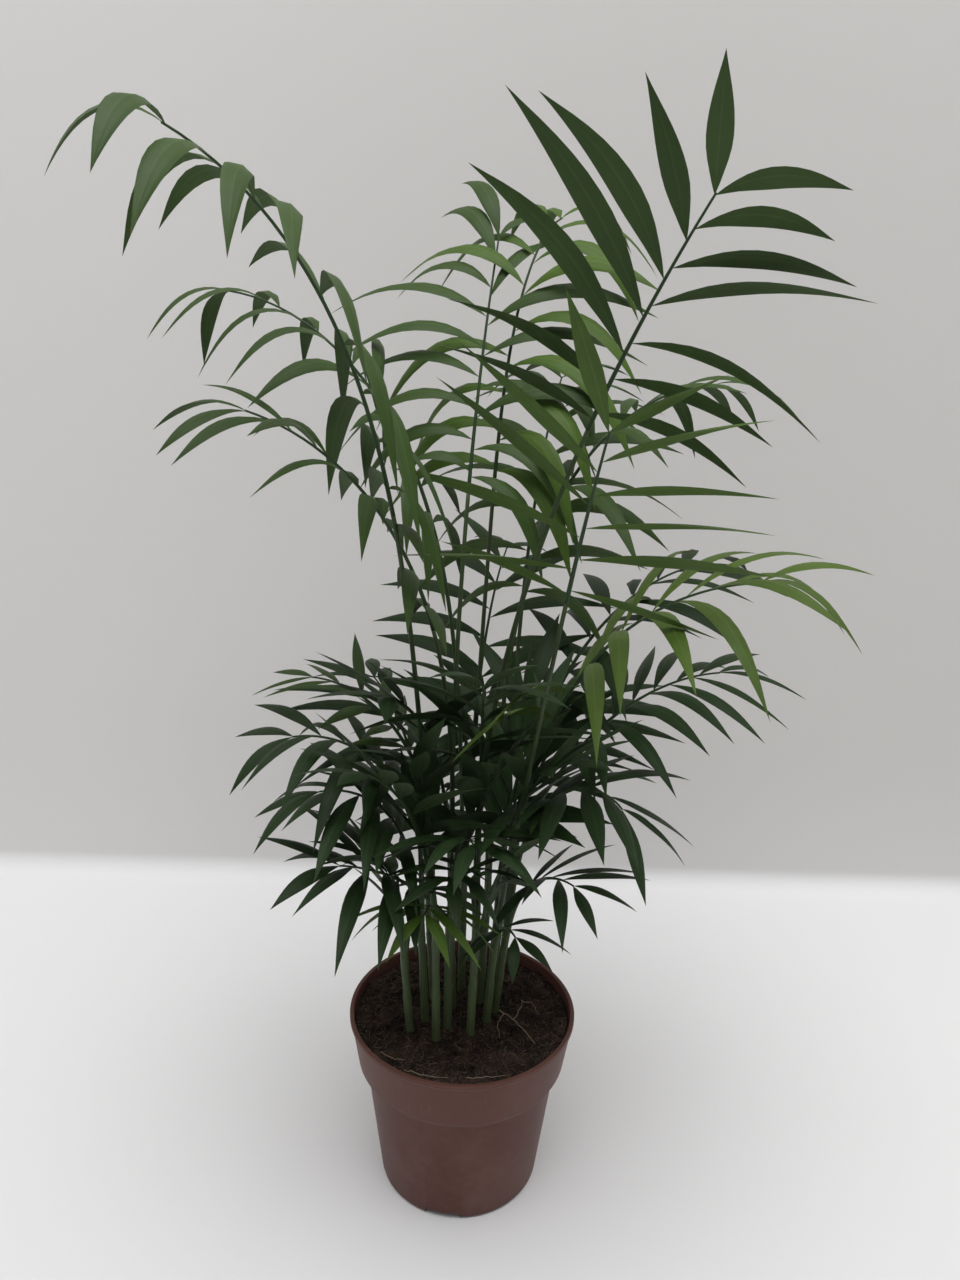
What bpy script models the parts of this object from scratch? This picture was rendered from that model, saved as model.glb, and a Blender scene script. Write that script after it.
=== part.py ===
"""A parlour palm in its nursery pot: pot, soil, twelve stems and the fronds that they carry.

Metres, +Z up. The origin is the middle of the pot's flat underside, and -Y is the side the plant is seen from.
Each stem is one seedling's cane with the leaf stalks that leave it, and each frond is a rib with its leaflets.
"""

import math
from collections import namedtuple

import bmesh
import bpy
import numpy as np
from mathutils.bvhtree import BVHTree

MM = 0.001
GAP = 0.3 * MM

# Pot, a thin moulded shell with a plain collar under its rim
POT_HEIGHT = 110 * MM
RIM_RADIUS = 65 * MM
LIP_HEIGHT = 2.5 * MM
COLLAR_FOOT_RADIUS = 60 * MM
COLLAR_FOOT_HEIGHT = 80 * MM
BODY_TOP_RADIUS = 55.5 * MM
FOOT_RADIUS = 46 * MM
FOOT_ROUNDING = 3 * MM
WALL = 1.6 * MM
FLOOR = 2.2 * MM
POT_FACETS = 36
NOTCH_COUNT = 3
NOTCH_WIDTH = 20 * MM
NOTCH_HEIGHT = 3.6 * MM
NOTCH_DEPTH = 10 * MM
NOTCH_HEADING = -100

# Soil, filled to just under the rim
SOIL_TOP = 106 * MM

# Stems
CANE_FOOT_RADIUS = 2.6 * MM
CANE_TOP_RADIUS = 1.9 * MM
STALK_RADIUS = 1.35 * MM
STALK_END_RADIUS = 1.0 * MM
RIB_TIP_RADIUS = 0.5 * MM
STALK_SPANS = 6
RIB_SPANS = 5

# Leaflets: their angle from the rib at the lowest pair and at the tip, how much each varies, how fast they fall,
# how far their upper faces turn up to the sky, and their outline
FOOT_ANGLE = 70
TIP_ANGLE = 32
ANGLE_SPREAD = 9
LIFT_SPREAD = 12
SIZE_SPREAD = 0.09
DROOP_SPREAD = 0.3
STAGGER = 0.18
FIRST_PAIR = 0.05
LAST_PAIR = 0.99
FOOT_SHORTENING = 0.18
DROOP_RATE = 3.2
SKYWARD = 0.8
KEEL = 1.4 * MM
ROOT_SHARE = 0.13
WIDEST = 0.42
SECTION_SHARES = (0.14, 0.42, 0.74)

# Room between leaflets: the clearance, the turns in degrees and then the cuts tried where one would touch
CLEARANCE = 0.5 * MM
TURNS = (0, 7, -7, 14, -14, 22, -22)
CUTS = (1.0, 0.85, 0.7, 0.55)
SHORTEST_EDGE = 0.0005 * MM

# Each cane's foot and top in plan and its height above the soil, in mm
Cane = namedtuple("Cane", "foot_x foot_y top_x top_y height")
CANES = {
    "a": Cane(-29, -18, -33, -20, 62),
    "b": Cane(-21, -8, -24, -9, 70),
    "c": Cane(-14, -23, -15, -26, 80),
    "d": Cane(-8, -14, -8, -16, 74),
    "e": Cane(5, -20, 7, -22, 85),
    "f": Cane(14, -9, 18, -12, 70),
    "g": Cane(19, 2, 25, 1, 66),
    "h": Cane(10, 9, 13, 13, 70),
    "i": Cane(-6, 4, -8, 5, 80),
    "j": Cane(-17, 10, -21, 14, 60),
    "k": Cane(-1, 20, -1, 25, 66),
    "l": Cane(17, 20, 22, 25, 60),
}

# How one frond grows. Angles are in degrees and lengths in mm.
# cane and share: the cane that carries it, and how far up that its stalk leaves
# heading and lean: the way it leans, turning from +X towards +Y, and its lean from upright where it leaves
# arch and bend: its lean at the tip, and how late it bends
# roll: the turn of the leaf's flat side about its rib
# length and bare: the whole length of stalk and rib, and the share of it with no leaflets
# pairs, blade and width: the pairs of leaflets, the longest one's length, and its width as a share of that
# spread, lift and droop: leaflets' angle from the rib as a share of the usual, their rise and their fall
# taper: how much shorter the leaflets at the tip are
# tint: the leaf's green
FROND_DEFAULTS = dict(
    share=0.95, bend=2.2, roll=0, bare=0.55, width=0.13, spread=1.0, lift=10, droop=40, taper=0.35, tint="dark"
)
Frond = namedtuple(
    "Frond",
    "cane heading lean arch length pairs blade share bend roll bare width spread lift droop taper tint",
)


def frond(cane, heading, lean, arch, length, pairs, blade, **others):
    return Frond(cane, heading, lean, arch, length, pairs, blade, **{**FROND_DEFAULTS, **others})


FRONDS = {
    "tall_left": frond(
        "c", 213, 5, 65, 411, 9, 100, bend=3.7, roll=-13, width=0.108, lift=12, droop=100, taper=0.35, tint="mid"
    ),
    "tall_right": frond(
        "e", -35, -6, 32, 374, 6, 96, bend=0.75, roll=-55, bare=0.72, width=0.115, spread=0.95, droop=46,
        taper=0.5, tint="mid"
    ),
    "centre_back": frond(
        "k", 60, 5, 74, 397, 8, 97, bend=7, bare=0.6, width=0.108, lift=15, droop=110, tint="mid"
    ),
    "centre_left": frond(
        "i", 78, -4, 34, 366, 7, 99, bend=1.2, bare=0.62, width=0.108, droop=98, tint="mid"
    ),
    "left_mid": frond("d", 188, -1, 72, 315, 8, 84, bend=2.55, share=0.9, width=0.11, droop=65, tint="mid"),
    "left_upper": frond("k", 168, 2, 84, 386, 7, 84, bend=3.1, width=0.11, droop=105, tint="mid"),
    "right_upper": frond("h", 10, 2, 89, 337, 7, 84, bend=3.5, bare=0.6, width=0.1, droop=75, tint="mid"),
    "front_right": frond(
        "f", -66, 16, 22, 294, 6, 86, bend=4, roll=-35, bare=0.72, width=0.12, spread=1.15, droop=18,
        tint="mid"
    ),
    "right_mid": frond(
        "g", -20, 3, 82, 262, 8, 104, bend=2, bare=0.46, width=0.11, spread=0.85, lift=15, droop=72,
        tint="light"
    ),
    "right_low": frond("h", 8, 22, 88, 196, 6, 74, bare=0.5, width=0.12, droop=45),
    "right_fan": frond("g", -30, 7, 137, 132, 5, 78, share=0.95, bend=3.1, bare=0.55, width=0.15, droop=40),
    "right_foot": frond("g", -42, 11, 101, 84, 4, 58, share=0.67, bend=2.3, bare=0.55, width=0.16, droop=45),
    "right_inner": frond("l", 22, 6, 88, 252, 6, 78, bare=0.5, width=0.12, droop=50),
    "left_foot": frond("d", 203, 29, 76, 80, 5, 70, bend=1.1, bare=0.4, width=0.15, droop=50),
    "left_low": frond("a", 195, -8, 97, 132, 5, 70, share=0.82, bend=2.3, bare=0.55, width=0.15, droop=55),
    "left_fan": frond("b", 185, -2, 99, 150, 5, 70, bend=2, width=0.145, droop=55),
    "left_small": frond("j", 165, -3, 92, 186, 5, 54, share=0.74, bend=2.3, bare=0.6, droop=25, tint="mid"),
    "front_mid": frond("e", 270, 2, 60, 160, 5, 70, bend=3, bare=0.55, width=0.16, spread=0.8, droop=50),
    "front_low": frond("d", 285, 4, 80, 100, 5, 60, share=0.9, bend=1.8, bare=0.45, width=0.16, droop=60),
    "front_foot": frond(
        "c", 262, 8, 90, 55, 4, 48, share=0.8, bend=1.6, bare=0.5, width=0.16, droop=70, tint="mid"
    ),
    "side_foot": frond("f", -66, 16, 100, 38, 3, 40, share=0.75, bend=1.6, bare=0.5, width=0.18, droop=60),
    "back_tall": frond("l", 75, 3, 60, 325, 7, 85, bend=2.4, width=0.11, droop=80, tint="mid"),
    "back_mid": frond("k", 78, 4, 75, 235, 6, 78, share=0.8, bend=2, bare=0.5, width=0.13),
    "back_left": frond("j", 125, 3, 75, 150, 5, 68, share=0.95, bend=2, bare=0.5, width=0.14),
    "back_low": frond("l", 50, 10, 90, 160, 5, 70, share=0.8, bend=1.8, bare=0.5, width=0.14),
    "back_foot": frond("k", 110, 14, 95, 110, 5, 62, share=0.7, bend=1.6, bare=0.5, width=0.14),
    "inner_front": frond(
        "i", 236, 4, 60, 160, 5, 68, share=0.85, bend=2.4, bare=0.45, width=0.16, spread=0.7
    ),
    "inner_left": frond("c", 228, 7, 56, 122, 5, 62, share=0.9, bend=2, bare=0.35, width=0.16, spread=0.75),
    "inner_right": frond("f", -35, 0, 58, 126, 5, 62, share=0.9, bend=2, bare=0.4, width=0.16, spread=0.75),
    "inner_back": frond("h", 95, 6, 50, 135, 5, 66, share=0.8, bend=2, bare=0.35, width=0.15, spread=0.75),
    "inner_foot": frond("e", 250, 6, 80, 78, 4, 54, share=0.75, bend=1.8, bare=0.4, width=0.16, droop=60),
    "core_left": frond("b", 266, 8, 34, 128, 5, 64, share=0.8, bend=2, bare=0.3, width=0.16, spread=0.55),
    "core_right": frond("f", 40, 2, 32, 132, 5, 66, share=0.85, bend=2, bare=0.4, width=0.16, spread=0.55),
    "core_top": frond("g", 70, 2, 34, 148, 5, 70, share=0.8, bend=2, bare=0.45, width=0.15, spread=0.65),
    "core_mid": frond("d", 312, 6, 36, 128, 5, 66, share=0.7, bend=2, bare=0.35, width=0.16, spread=0.55),
    "core_low": frond("e", 300, 13, 44, 100, 4, 58, share=0.6, bend=1.8, bare=0.3, width=0.17, spread=0.6),
    "core_foot": frond("a", 245, 3, 50, 88, 4, 54, share=0.75, bend=1.8, bare=0.3, width=0.17, spread=0.65),
}

# Base colours by name
GREENS = {"dark": (0.028, 0.057, 0.021), "mid": (0.050, 0.098, 0.032), "light": (0.115, 0.200, 0.045)}
STEM_GREEN = (0.070, 0.110, 0.038)
TERRACOTTA = (0.110, 0.036, 0.027)
PEAT = (0.028, 0.018, 0.013)


# Scene and small helpers


def clear_scene():
    for thing in list(bpy.data.objects):
        bpy.data.objects.remove(thing, do_unlink=True)


def make_collection(name):
    collection = bpy.data.collections.new(name)
    bpy.context.scene.collection.children.link(collection)
    return collection


def make_material(name, colour, roughness):
    material = bpy.data.materials.new(name)
    material.use_nodes = True
    shader = material.node_tree.nodes["Principled BSDF"]
    shader.inputs["Base Color"].default_value = (*colour, 1)
    shader.inputs["Roughness"].default_value = roughness
    shader.inputs["Metallic"].default_value = 0.0
    material.diffuse_color = (*colour, 1)
    return material


def mesh_object(name, vertices, edges, faces, collection):
    mesh = bpy.data.meshes.new(name)
    mesh.from_pydata([tuple(vertex) for vertex in vertices], edges, faces)
    thing = bpy.data.objects.new(name, mesh)
    collection.objects.link(thing)
    return thing


def unit(vector):
    return vector / np.linalg.norm(vector)


def scatter(*keys):
    """A fixed number from -1 to 1 for a set of whole numbers, which looks random."""
    mixed = math.sin(sum(key * step for key, step in zip(keys, (12.9898, 78.233, 37.719, 4.581))) + 0.5)
    wide = mixed * 43758.5453
    return 2 * (wide - math.floor(wide)) - 1


# Pot and soil


def turned_object(name, profile, facets, collection):
    """A solid of revolution about Z. The profile runs down its outer side, from the top."""
    edges = [(point, point + 1) for point in range(len(profile) - 1)]
    thing = mesh_object(name, [(radius, 0, height) for radius, height in profile], edges, [], collection)
    screw = thing.modifiers.new("Turned", "SCREW")
    screw.steps = facets
    screw.render_steps = facets
    screw.use_merge_vertices = True
    screw.merge_threshold = 0.01 * MM
    return thing


def body_radius(height):
    return FOOT_RADIUS + (BODY_TOP_RADIUS - FOOT_RADIUS) * height / COLLAR_FOOT_HEIGHT


def collar_radius(height):
    rise = (height - COLLAR_FOOT_HEIGHT) / (POT_HEIGHT - LIP_HEIGHT - COLLAR_FOOT_HEIGHT)
    return COLLAR_FOOT_RADIUS + (RIM_RADIUS - 1 * MM - COLLAR_FOOT_RADIUS) * rise


def inner_wall():
    """The pot's inner face, from the rim down to the floor, as radius and height."""
    under_collar = COLLAR_FOOT_HEIGHT - 1 * MM
    return [
        (collar_radius(POT_HEIGHT - LIP_HEIGHT) - WALL, POT_HEIGHT),
        (collar_radius(COLLAR_FOOT_HEIGHT + WALL) - WALL, COLLAR_FOOT_HEIGHT + WALL),
        (body_radius(under_collar) - WALL, under_collar),
        (body_radius(FLOOR) - WALL, FLOOR),
    ]


def make_pot(collection, cutters):
    lip = POT_HEIGHT - LIP_HEIGHT
    outer = [
        (RIM_RADIUS, POT_HEIGHT),
        (RIM_RADIUS, lip),
        (collar_radius(lip), lip - 0.8 * MM),
        (COLLAR_FOOT_RADIUS, COLLAR_FOOT_HEIGHT),
        (body_radius(COLLAR_FOOT_HEIGHT - 1 * MM), COLLAR_FOOT_HEIGHT - 1 * MM),
        (body_radius(FOOT_ROUNDING), FOOT_ROUNDING),
        (FOOT_RADIUS - 1 * MM, 0.8 * MM),
        (FOOT_RADIUS - FOOT_ROUNDING, 0),
        (0, 0),
    ]
    inner = [(0, FLOOR)] + inner_wall()[::-1]
    pot = turned_object("pot", [*outer, *inner, outer[0]], POT_FACETS, collection)
    for index in range(NOTCH_COUNT):
        heading = math.radians(NOTCH_HEADING + 360 / NOTCH_COUNT * index)
        out = FOOT_RADIUS - NOTCH_DEPTH / 2 + 1 * MM
        bpy.ops.mesh.primitive_cube_add(
            size=1,
            location=(out * math.cos(heading), out * math.sin(heading), 0),
            rotation=(0, 0, heading),
            scale=(NOTCH_DEPTH, NOTCH_WIDTH, 2 * NOTCH_HEIGHT),
        )
        cutter = bpy.context.object
        cutter.name = f"notch_cutter_{index + 1}"
        for owner in list(cutter.users_collection):
            owner.objects.unlink(cutter)
        cutters.objects.link(cutter)
        cutter.hide_render = True
        cutter.display_type = "WIRE"
        cut = pot.modifiers.new(f"Notch {index + 1}", "BOOLEAN")
        cut.operation = "DIFFERENCE"
        cut.object = cutter
    return pot


def make_soil(collection):
    """Soil that follows the pot's inner face a gap inside it, with a flat top and bottom."""
    rim, collar_foot, body_top, floor = inner_wall()
    slope = (rim[0] - collar_foot[0]) / (rim[1] - collar_foot[1])
    top_radius = rim[0] - slope * (rim[1] - SOIL_TOP)
    profile = [
        (0, SOIL_TOP),
        (top_radius - GAP, SOIL_TOP),
        (collar_foot[0] - GAP, collar_foot[1] + GAP),
        (body_top[0] - GAP, body_top[1] + GAP),
        (floor[0] - GAP, FLOOR + GAP),
        (0, FLOOR + GAP),
    ]
    return turned_object("soil", profile, POT_FACETS, collection)


# How a frond's stalk and rib run


def cane_point(cane, share):
    plan = np.array((cane.foot_x, cane.foot_y)) * (1 - share) + np.array((cane.top_x, cane.top_y)) * share
    return np.array((plan[0] * MM, plan[1] * MM, SOIL_TOP + GAP + cane.height * MM * share))


def frond_line(row, spans=60):
    """Shares, points, and the directions along the rib, out to its left and out of its upper face."""
    shares = np.linspace(0, 1, spans + 1)
    lean = np.radians(row.lean + (row.arch - row.lean) * shares**row.bend)
    heading = math.radians(row.heading)
    ahead = np.array((math.cos(heading), math.sin(heading), 0))
    side = np.array((-math.sin(heading), math.cos(heading), 0))
    along = np.sin(lean)[:, None] * ahead + np.cos(lean)[:, None] * np.array((0, 0, 1))
    steps = (along[1:] + along[:-1]) / 2 * row.length * MM / spans
    points = cane_point(CANES[row.cane], row.share) + np.vstack([np.zeros(3), np.cumsum(steps, axis=0)])
    face = np.cross(along, side)
    roll = math.radians(row.roll)
    left = side * math.cos(roll) + face * math.sin(roll)
    upper = face * math.cos(roll) - side * math.sin(roll)
    return shares, points, along, left, upper


def at(line, share):
    """The line's point and directions at a share of its length."""
    shares = line[0]
    return [np.array([np.interp(share, shares, values[:, axis]) for axis in range(3)]) for values in line[1:]]


def rib_points(row, line):
    """Shares and points of the rib's straight spans, from just past the stalk's end to the tip."""
    shares = np.linspace(row.bare + GAP / (row.length * MM), 1, RIB_SPANS + 1)
    return shares, np.array([at(line, share)[0] for share in shares])


# How a frond's leaflets grow

Leaflet = namedtuple("Leaflet", "root along left upper angle lift length width droop")


def leaflet_rows(row, number):
    """Every leaflet of a frond, from the lowest pair to the tip, left side first."""
    line = frond_line(row)
    rib_shares, spans = rib_points(row, line)
    for pair in range(row.pairs):
        height = pair / (row.pairs - 1)
        for side in (1, -1):
            stagger = 0 if pair == row.pairs - 1 else STAGGER * side / row.pairs
            place = FIRST_PAIR + (LAST_PAIR - FIRST_PAIR) * min(max(height + stagger, 0), 1)
            share = row.bare + (1 - row.bare) * place
            _, along, left, upper = at(line, share)
            root = np.array([np.interp(share, rib_shares, spans[:, axis]) for axis in range(3)])
            jitter = [scatter(number, pair, side, key) for key in (1, 2, 3, 4)]
            near_tip = max(0, (height - 0.45) / 0.55)
            near_foot = max(0, (0.35 - height) / 0.35)
            size = 1 - row.taper * near_tip**1.5 - FOOT_SHORTENING * near_foot**1.2
            size *= 1 + SIZE_SPREAD * jitter[2]
            angle = (FOOT_ANGLE + (TIP_ANGLE - FOOT_ANGLE) * height**1.3) * row.spread
            yield Leaflet(
                root,
                unit(along),
                unit(left) * side,
                unit(upper),
                math.radians(angle + ANGLE_SPREAD * jitter[0]),
                math.radians(row.lift + LIFT_SPREAD * jitter[1]),
                row.blade * MM * size,
                row.blade * MM * row.width * (0.85 + 0.15 * size),
                math.radians(row.droop * (1 + DROOP_SPREAD * jitter[3])),
            )


def leaflet_line(leaflet, steps):
    """Points down the middle of the leaflet, with the directions across it and out of its upper face."""
    ahead = math.cos(leaflet.angle) * leaflet.along + math.sin(leaflet.angle) * leaflet.left
    ahead = unit(math.cos(leaflet.lift) * ahead + math.sin(leaflet.lift) * leaflet.upper)
    upward = leaflet.upper + np.array((0, 0, SKYWARD))
    face = unit(upward - np.dot(upward, ahead) * ahead)
    point = leaflet.root
    rows = [(point, np.cross(face, ahead), face)]
    for step in range(steps):
        share = (step + 0.5) / steps
        fall = ahead * ahead[2] - np.array((0, 0, 1))
        ahead = unit(ahead + fall * leaflet.droop * DROOP_RATE * share**0.5 * (1 - share) ** 0.8 / steps)
        point = point + ahead * leaflet.length / steps
        face = unit(face - np.dot(face, ahead) * ahead - fall * SKYWARD / steps)
        face = unit(face - np.dot(face, ahead) * ahead)
        rows.append((point, np.cross(face, ahead), face))
    return rows


def half_width(leaflet, share):
    if share < WIDEST:
        rise = math.sin(math.pi / 2 * share / WIDEST) ** 1.4
        return leaflet.width / 2 * (ROOT_SHARE + (1 - ROOT_SHARE) * rise)
    return leaflet.width / 2 * math.cos(math.pi / 2 * (share - WIDEST) / (1 - WIDEST)) ** 1.15


def leaflet_shape(leaflet, swell=0.0):
    """A keeled blade lofted through three-cornered sections to a point at both ends, as vertices and faces."""
    steps = 50
    rows = leaflet_line(leaflet, steps)
    start, _, face = rows[0]
    vertices = [start - face * RIB_TIP_RADIUS / 2]
    for share in SECTION_SHARES:
        point, across, face = rows[round(share * steps)]
        half = half_width(leaflet, share) + swell
        keel = KEEL * (1 - 0.4 * share) + swell
        raised = point + face * swell
        vertices += [raised - across * half, raised + across * half, point - face * keel]
    vertices.append(rows[-1][0])
    faces = [(1 + corner, 1 + (corner + 1) % 3, 0) for corner in range(3)]
    for section in range(len(SECTION_SHARES) - 1):
        near = 3 * section + 1
        far = near + 3
        for corner in range(3):
            after = (corner + 1) % 3
            faces += [(near + after, near + corner, far + corner), (near + after, far + corner, far + after)]
    last = len(vertices) - 4
    tip = len(vertices) - 1
    faces += [(last + (corner + 1) % 3, last + corner, tip) for corner in range(3)]
    return vertices, faces


# Tubes and joining


def tube_object(name, points, radii, sides_step, collection):
    """A tapering tube along the points, as a closed mesh with welded caps."""
    curve = bpy.data.curves.new(name, "CURVE")
    curve.dimensions = "3D"
    curve.bevel_depth = 1.0
    curve.bevel_resolution = sides_step
    curve.use_fill_caps = True
    spline = curve.splines.new("POLY")
    spline.points.add(len(points) - 1)
    for point, place, radius in zip(spline.points, points, radii):
        point.co = (*place, 1)
        point.radius = radius
    drawn = bpy.data.objects.new(name, curve)
    collection.objects.link(drawn)
    view_layer_graph = bpy.context.evaluated_depsgraph_get()
    mesh = bpy.data.meshes.new_from_object(drawn.evaluated_get(view_layer_graph))
    bpy.data.objects.remove(drawn, do_unlink=True)
    shape = bmesh.new()
    shape.from_mesh(mesh)
    bmesh.ops.remove_doubles(shape, verts=shape.verts, dist=0.01 * MM)
    bmesh.ops.recalc_face_normals(shape, faces=shape.faces)
    shape.to_mesh(mesh)
    shape.free()
    thing = bpy.data.objects.new(name, mesh)
    collection.objects.link(thing)
    return thing


def fuse(base, pieces):
    """Joins the pieces to the base with one union, removes them, and clears the shortest edges it made."""
    if not pieces:
        return
    others = make_collection(f"{base.name}_pieces")
    for piece in pieces:
        for owner in list(piece.users_collection):
            owner.objects.unlink(piece)
        others.objects.link(piece)
    union = base.modifiers.new("Fused", "BOOLEAN")
    union.operation = "UNION"
    union.operand_type = "COLLECTION"
    union.collection = others
    union.solver = "MANIFOLD"
    mesh = bpy.data.meshes.new_from_object(base.evaluated_get(bpy.context.evaluated_depsgraph_get()))
    base.modifiers.remove(union)
    shape = bmesh.new()
    shape.from_mesh(mesh)
    bmesh.ops.triangulate(shape, faces=shape.faces)
    bmesh.ops.remove_doubles(shape, verts=shape.verts, dist=SHORTEST_EDGE)
    shape.to_mesh(mesh)
    shape.free()
    base.data = mesh
    for piece in pieces:
        bpy.data.objects.remove(piece, do_unlink=True)
    bpy.data.collections.remove(others)


def surface(thing):
    """A search tree of an object's faces, for finding what touches them."""
    mesh = thing.data
    return BVHTree.FromPolygons([tuple(v.co) for v in mesh.vertices], [tuple(f.vertices) for f in mesh.polygons])


def touches(shape, surfaces):
    vertices, faces = shape
    tree = BVHTree.FromPolygons([tuple(vertex) for vertex in vertices], faces)
    return any(tree.overlap(other) for other in surfaces)


# Stems and fronds


def make_stem(letter, collection):
    """One seedling's cane, with the stalks of its fronds up to where each frond begins."""
    cane = CANES[letter]
    foot = cane_point(cane, 0)
    points = [foot, foot + np.array((0, 0, CANE_FOOT_RADIUS)), cane_point(cane, 0.5), cane_point(cane, 1)]
    radii = [CANE_FOOT_RADIUS, CANE_FOOT_RADIUS, (CANE_FOOT_RADIUS + CANE_TOP_RADIUS) / 2, CANE_TOP_RADIUS]
    stem = tube_object(f"stem_{letter}", points, radii, 1, collection)
    stalks = []
    for name, row in FRONDS.items():
        if row.cane == letter:
            line = frond_line(row)
            reach = np.linspace(0, row.bare, STALK_SPANS + 1)
            radii = STALK_RADIUS + (STALK_END_RADIUS - STALK_RADIUS) * reach / row.bare
            points = [at(line, share)[0] for share in reach]
            stalks.append(tube_object(f"stalk_{name}", points, radii, 0, collection))
    fuse(stem, stalks)
    return stem


def make_rib(name, row, collection):
    """The frond's rib, from just past its stalk's end to its tip."""
    _, points = rib_points(row, frond_line(row))
    radii = np.linspace(STALK_END_RADIUS, RIB_TIP_RADIUS, len(points))
    return tube_object(f"frond_{name}", points, radii, 0, collection)


def fit_leaflet(leaflet, surfaces):
    """The leaflet as it grows, or turned or cut short as far as it takes to clear its neighbours."""
    for cut in CUTS:
        for turn in TURNS:
            angle = leaflet.angle + math.radians(turn)
            tried = leaflet._replace(angle=angle, length=leaflet.length * cut, width=leaflet.width * cut**0.5)
            if not touches(leaflet_shape(tried, CLEARANCE), surfaces):
                return tried
    return None


def add_leaflets(name, number, rib, row, fixed, leaflet_surfaces, collection):
    """Fuses the frond's leaflets to its rib. Each keeps clear of all but that rib."""
    pieces = []
    for index, leaflet in enumerate(leaflet_rows(row, number)):
        fitted = fit_leaflet(leaflet, fixed + leaflet_surfaces)
        if fitted is not None:
            vertices, faces = leaflet_shape(fitted)
            pieces.append(mesh_object(f"leaflet_{name}_{index}", vertices, [], faces, collection))
            leaflet_surfaces.append(surface(pieces[-1]))
    fuse(rib, pieces)


def shade(thing, material, sharp_angle):
    thing.data.materials.clear()
    thing.data.materials.append(material)
    thing.data.shade_smooth()
    thing.data.set_sharp_from_angle(angle=math.radians(sharp_angle))


clear_scene()
parts = make_collection("parlour_palm")
cutters = make_collection("cutters")

pot = make_pot(parts, cutters)
shade(pot, make_material("pot_plastic", TERRACOTTA, 0.55), 35)
soil = make_soil(parts)
shade(soil, make_material("soil", PEAT, 1.0), 35)

stem_green = make_material("stem_green", STEM_GREEN, 0.5)
stems = {letter: make_stem(letter, parts) for letter in CANES}
for stem in stems.values():
    shade(stem, stem_green, 40)

greens = {tint: make_material(f"leaf_{tint}", colour, 0.45) for tint, colour in GREENS.items()}
ribs = {name: make_rib(name, row, parts) for name, row in FRONDS.items()}
stem_surfaces = [surface(stem) for stem in stems.values()]
rib_surfaces = {name: surface(rib) for name, rib in ribs.items()}
leaflet_surfaces = []
for number, (name, row) in enumerate(FRONDS.items()):
    other_ribs = [tree for other, tree in rib_surfaces.items() if other != name]
    add_leaflets(name, number, ribs[name], row, stem_surfaces + other_ribs, leaflet_surfaces, parts)
    shade(ribs[name], greens[row.tint], 40)
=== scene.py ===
"""The looks of a young parlour palm in its nursery pot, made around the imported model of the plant."""

import math
from collections import namedtuple

import bmesh
import bpy
import numpy as np
from mathutils import Matrix, noise
from mathutils.bvhtree import BVHTree


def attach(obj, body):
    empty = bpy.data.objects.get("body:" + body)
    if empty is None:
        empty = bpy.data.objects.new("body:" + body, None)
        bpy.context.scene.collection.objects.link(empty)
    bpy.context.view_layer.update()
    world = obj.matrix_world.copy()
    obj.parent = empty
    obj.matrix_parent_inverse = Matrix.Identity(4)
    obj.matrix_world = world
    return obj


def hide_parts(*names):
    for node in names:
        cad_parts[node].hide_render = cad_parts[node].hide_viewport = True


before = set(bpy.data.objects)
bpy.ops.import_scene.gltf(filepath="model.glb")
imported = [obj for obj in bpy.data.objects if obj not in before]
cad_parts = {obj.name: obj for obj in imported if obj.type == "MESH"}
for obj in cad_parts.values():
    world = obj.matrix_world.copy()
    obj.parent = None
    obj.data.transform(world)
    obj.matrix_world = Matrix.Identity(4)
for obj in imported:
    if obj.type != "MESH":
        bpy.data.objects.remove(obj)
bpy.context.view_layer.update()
MM = 0.001

# The pot
# It is one thin moulded shell of brown plastic: a rim lip, a plain collar, a shoulder that steps in to the
# tapering body, and a foot with shallow drainage notches. It stands by itself on its flat underside.

POT_HEIGHT = 110 * MM
RIM_RADIUS = 65 * MM
LIP_HEIGHT = 2.5 * MM
COLLAR_TOP_RADIUS = 64 * MM
COLLAR_FOOT_RADIUS = 60 * MM
COLLAR_FOOT_HEIGHT = 80 * MM
SHOULDER_HEIGHT = 5 * MM
BODY_TOP_RADIUS = 55.3 * MM
FOOT_RADIUS = 46 * MM
WALL = 1.6 * MM
RIM_WALL = 2.4 * MM
FLOOR = 2.2 * MM
POT_STEPS = 160
NOTCH_COUNT = 3
NOTCH_WIDTH = 20 * MM
NOTCH_HEIGHT = 4.4 * MM
NOTCH_DEPTH = 10 * MM
NOTCH_ROUNDING = 1.4 * MM
NOTCH_HEADING = -100
RIM_OVAL = 0.005
RIM_WAVE = 0.0015
RIM_DRAW = 0.006
SHARP_ANGLE = math.radians(38)
POT_BROWN = (0.098, 0.035, 0.026)
POT_DUST = (0.270, 0.200, 0.165)


def unit(vector):
    return vector / np.linalg.norm(vector)


def filleted(corners, steps=4):
    """The outline through corners of (radius, height, fillet), each fillet a curve of a few steps."""
    outline = []
    for index, (radius, height, fillet) in enumerate(corners):
        corner = np.array((radius, height))
        if not fillet:
            outline.append(corner)
            continue
        start = corner + unit(np.array(corners[index - 1][:2]) - corner) * fillet
        end = corner + unit(np.array(corners[(index + 1) % len(corners)][:2]) - corner) * fillet
        for step in range(steps + 1):
            share = step / steps
            outline.append((1 - share) ** 2 * start + 2 * share * (1 - share) * corner + share**2 * end)
    return outline


def settle_mesh(thing):
    """Gives the object its modified shape as a plain mesh, with no modifiers left."""
    graph = bpy.context.evaluated_depsgraph_get()
    mesh = bpy.data.meshes.new_from_object(thing.evaluated_get(graph))
    thing.modifiers.clear()
    thing.data = mesh


def new_object(name, mesh):
    thing = bpy.data.objects.new(name, mesh)
    bpy.context.scene.collection.objects.link(thing)
    return thing


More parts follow.
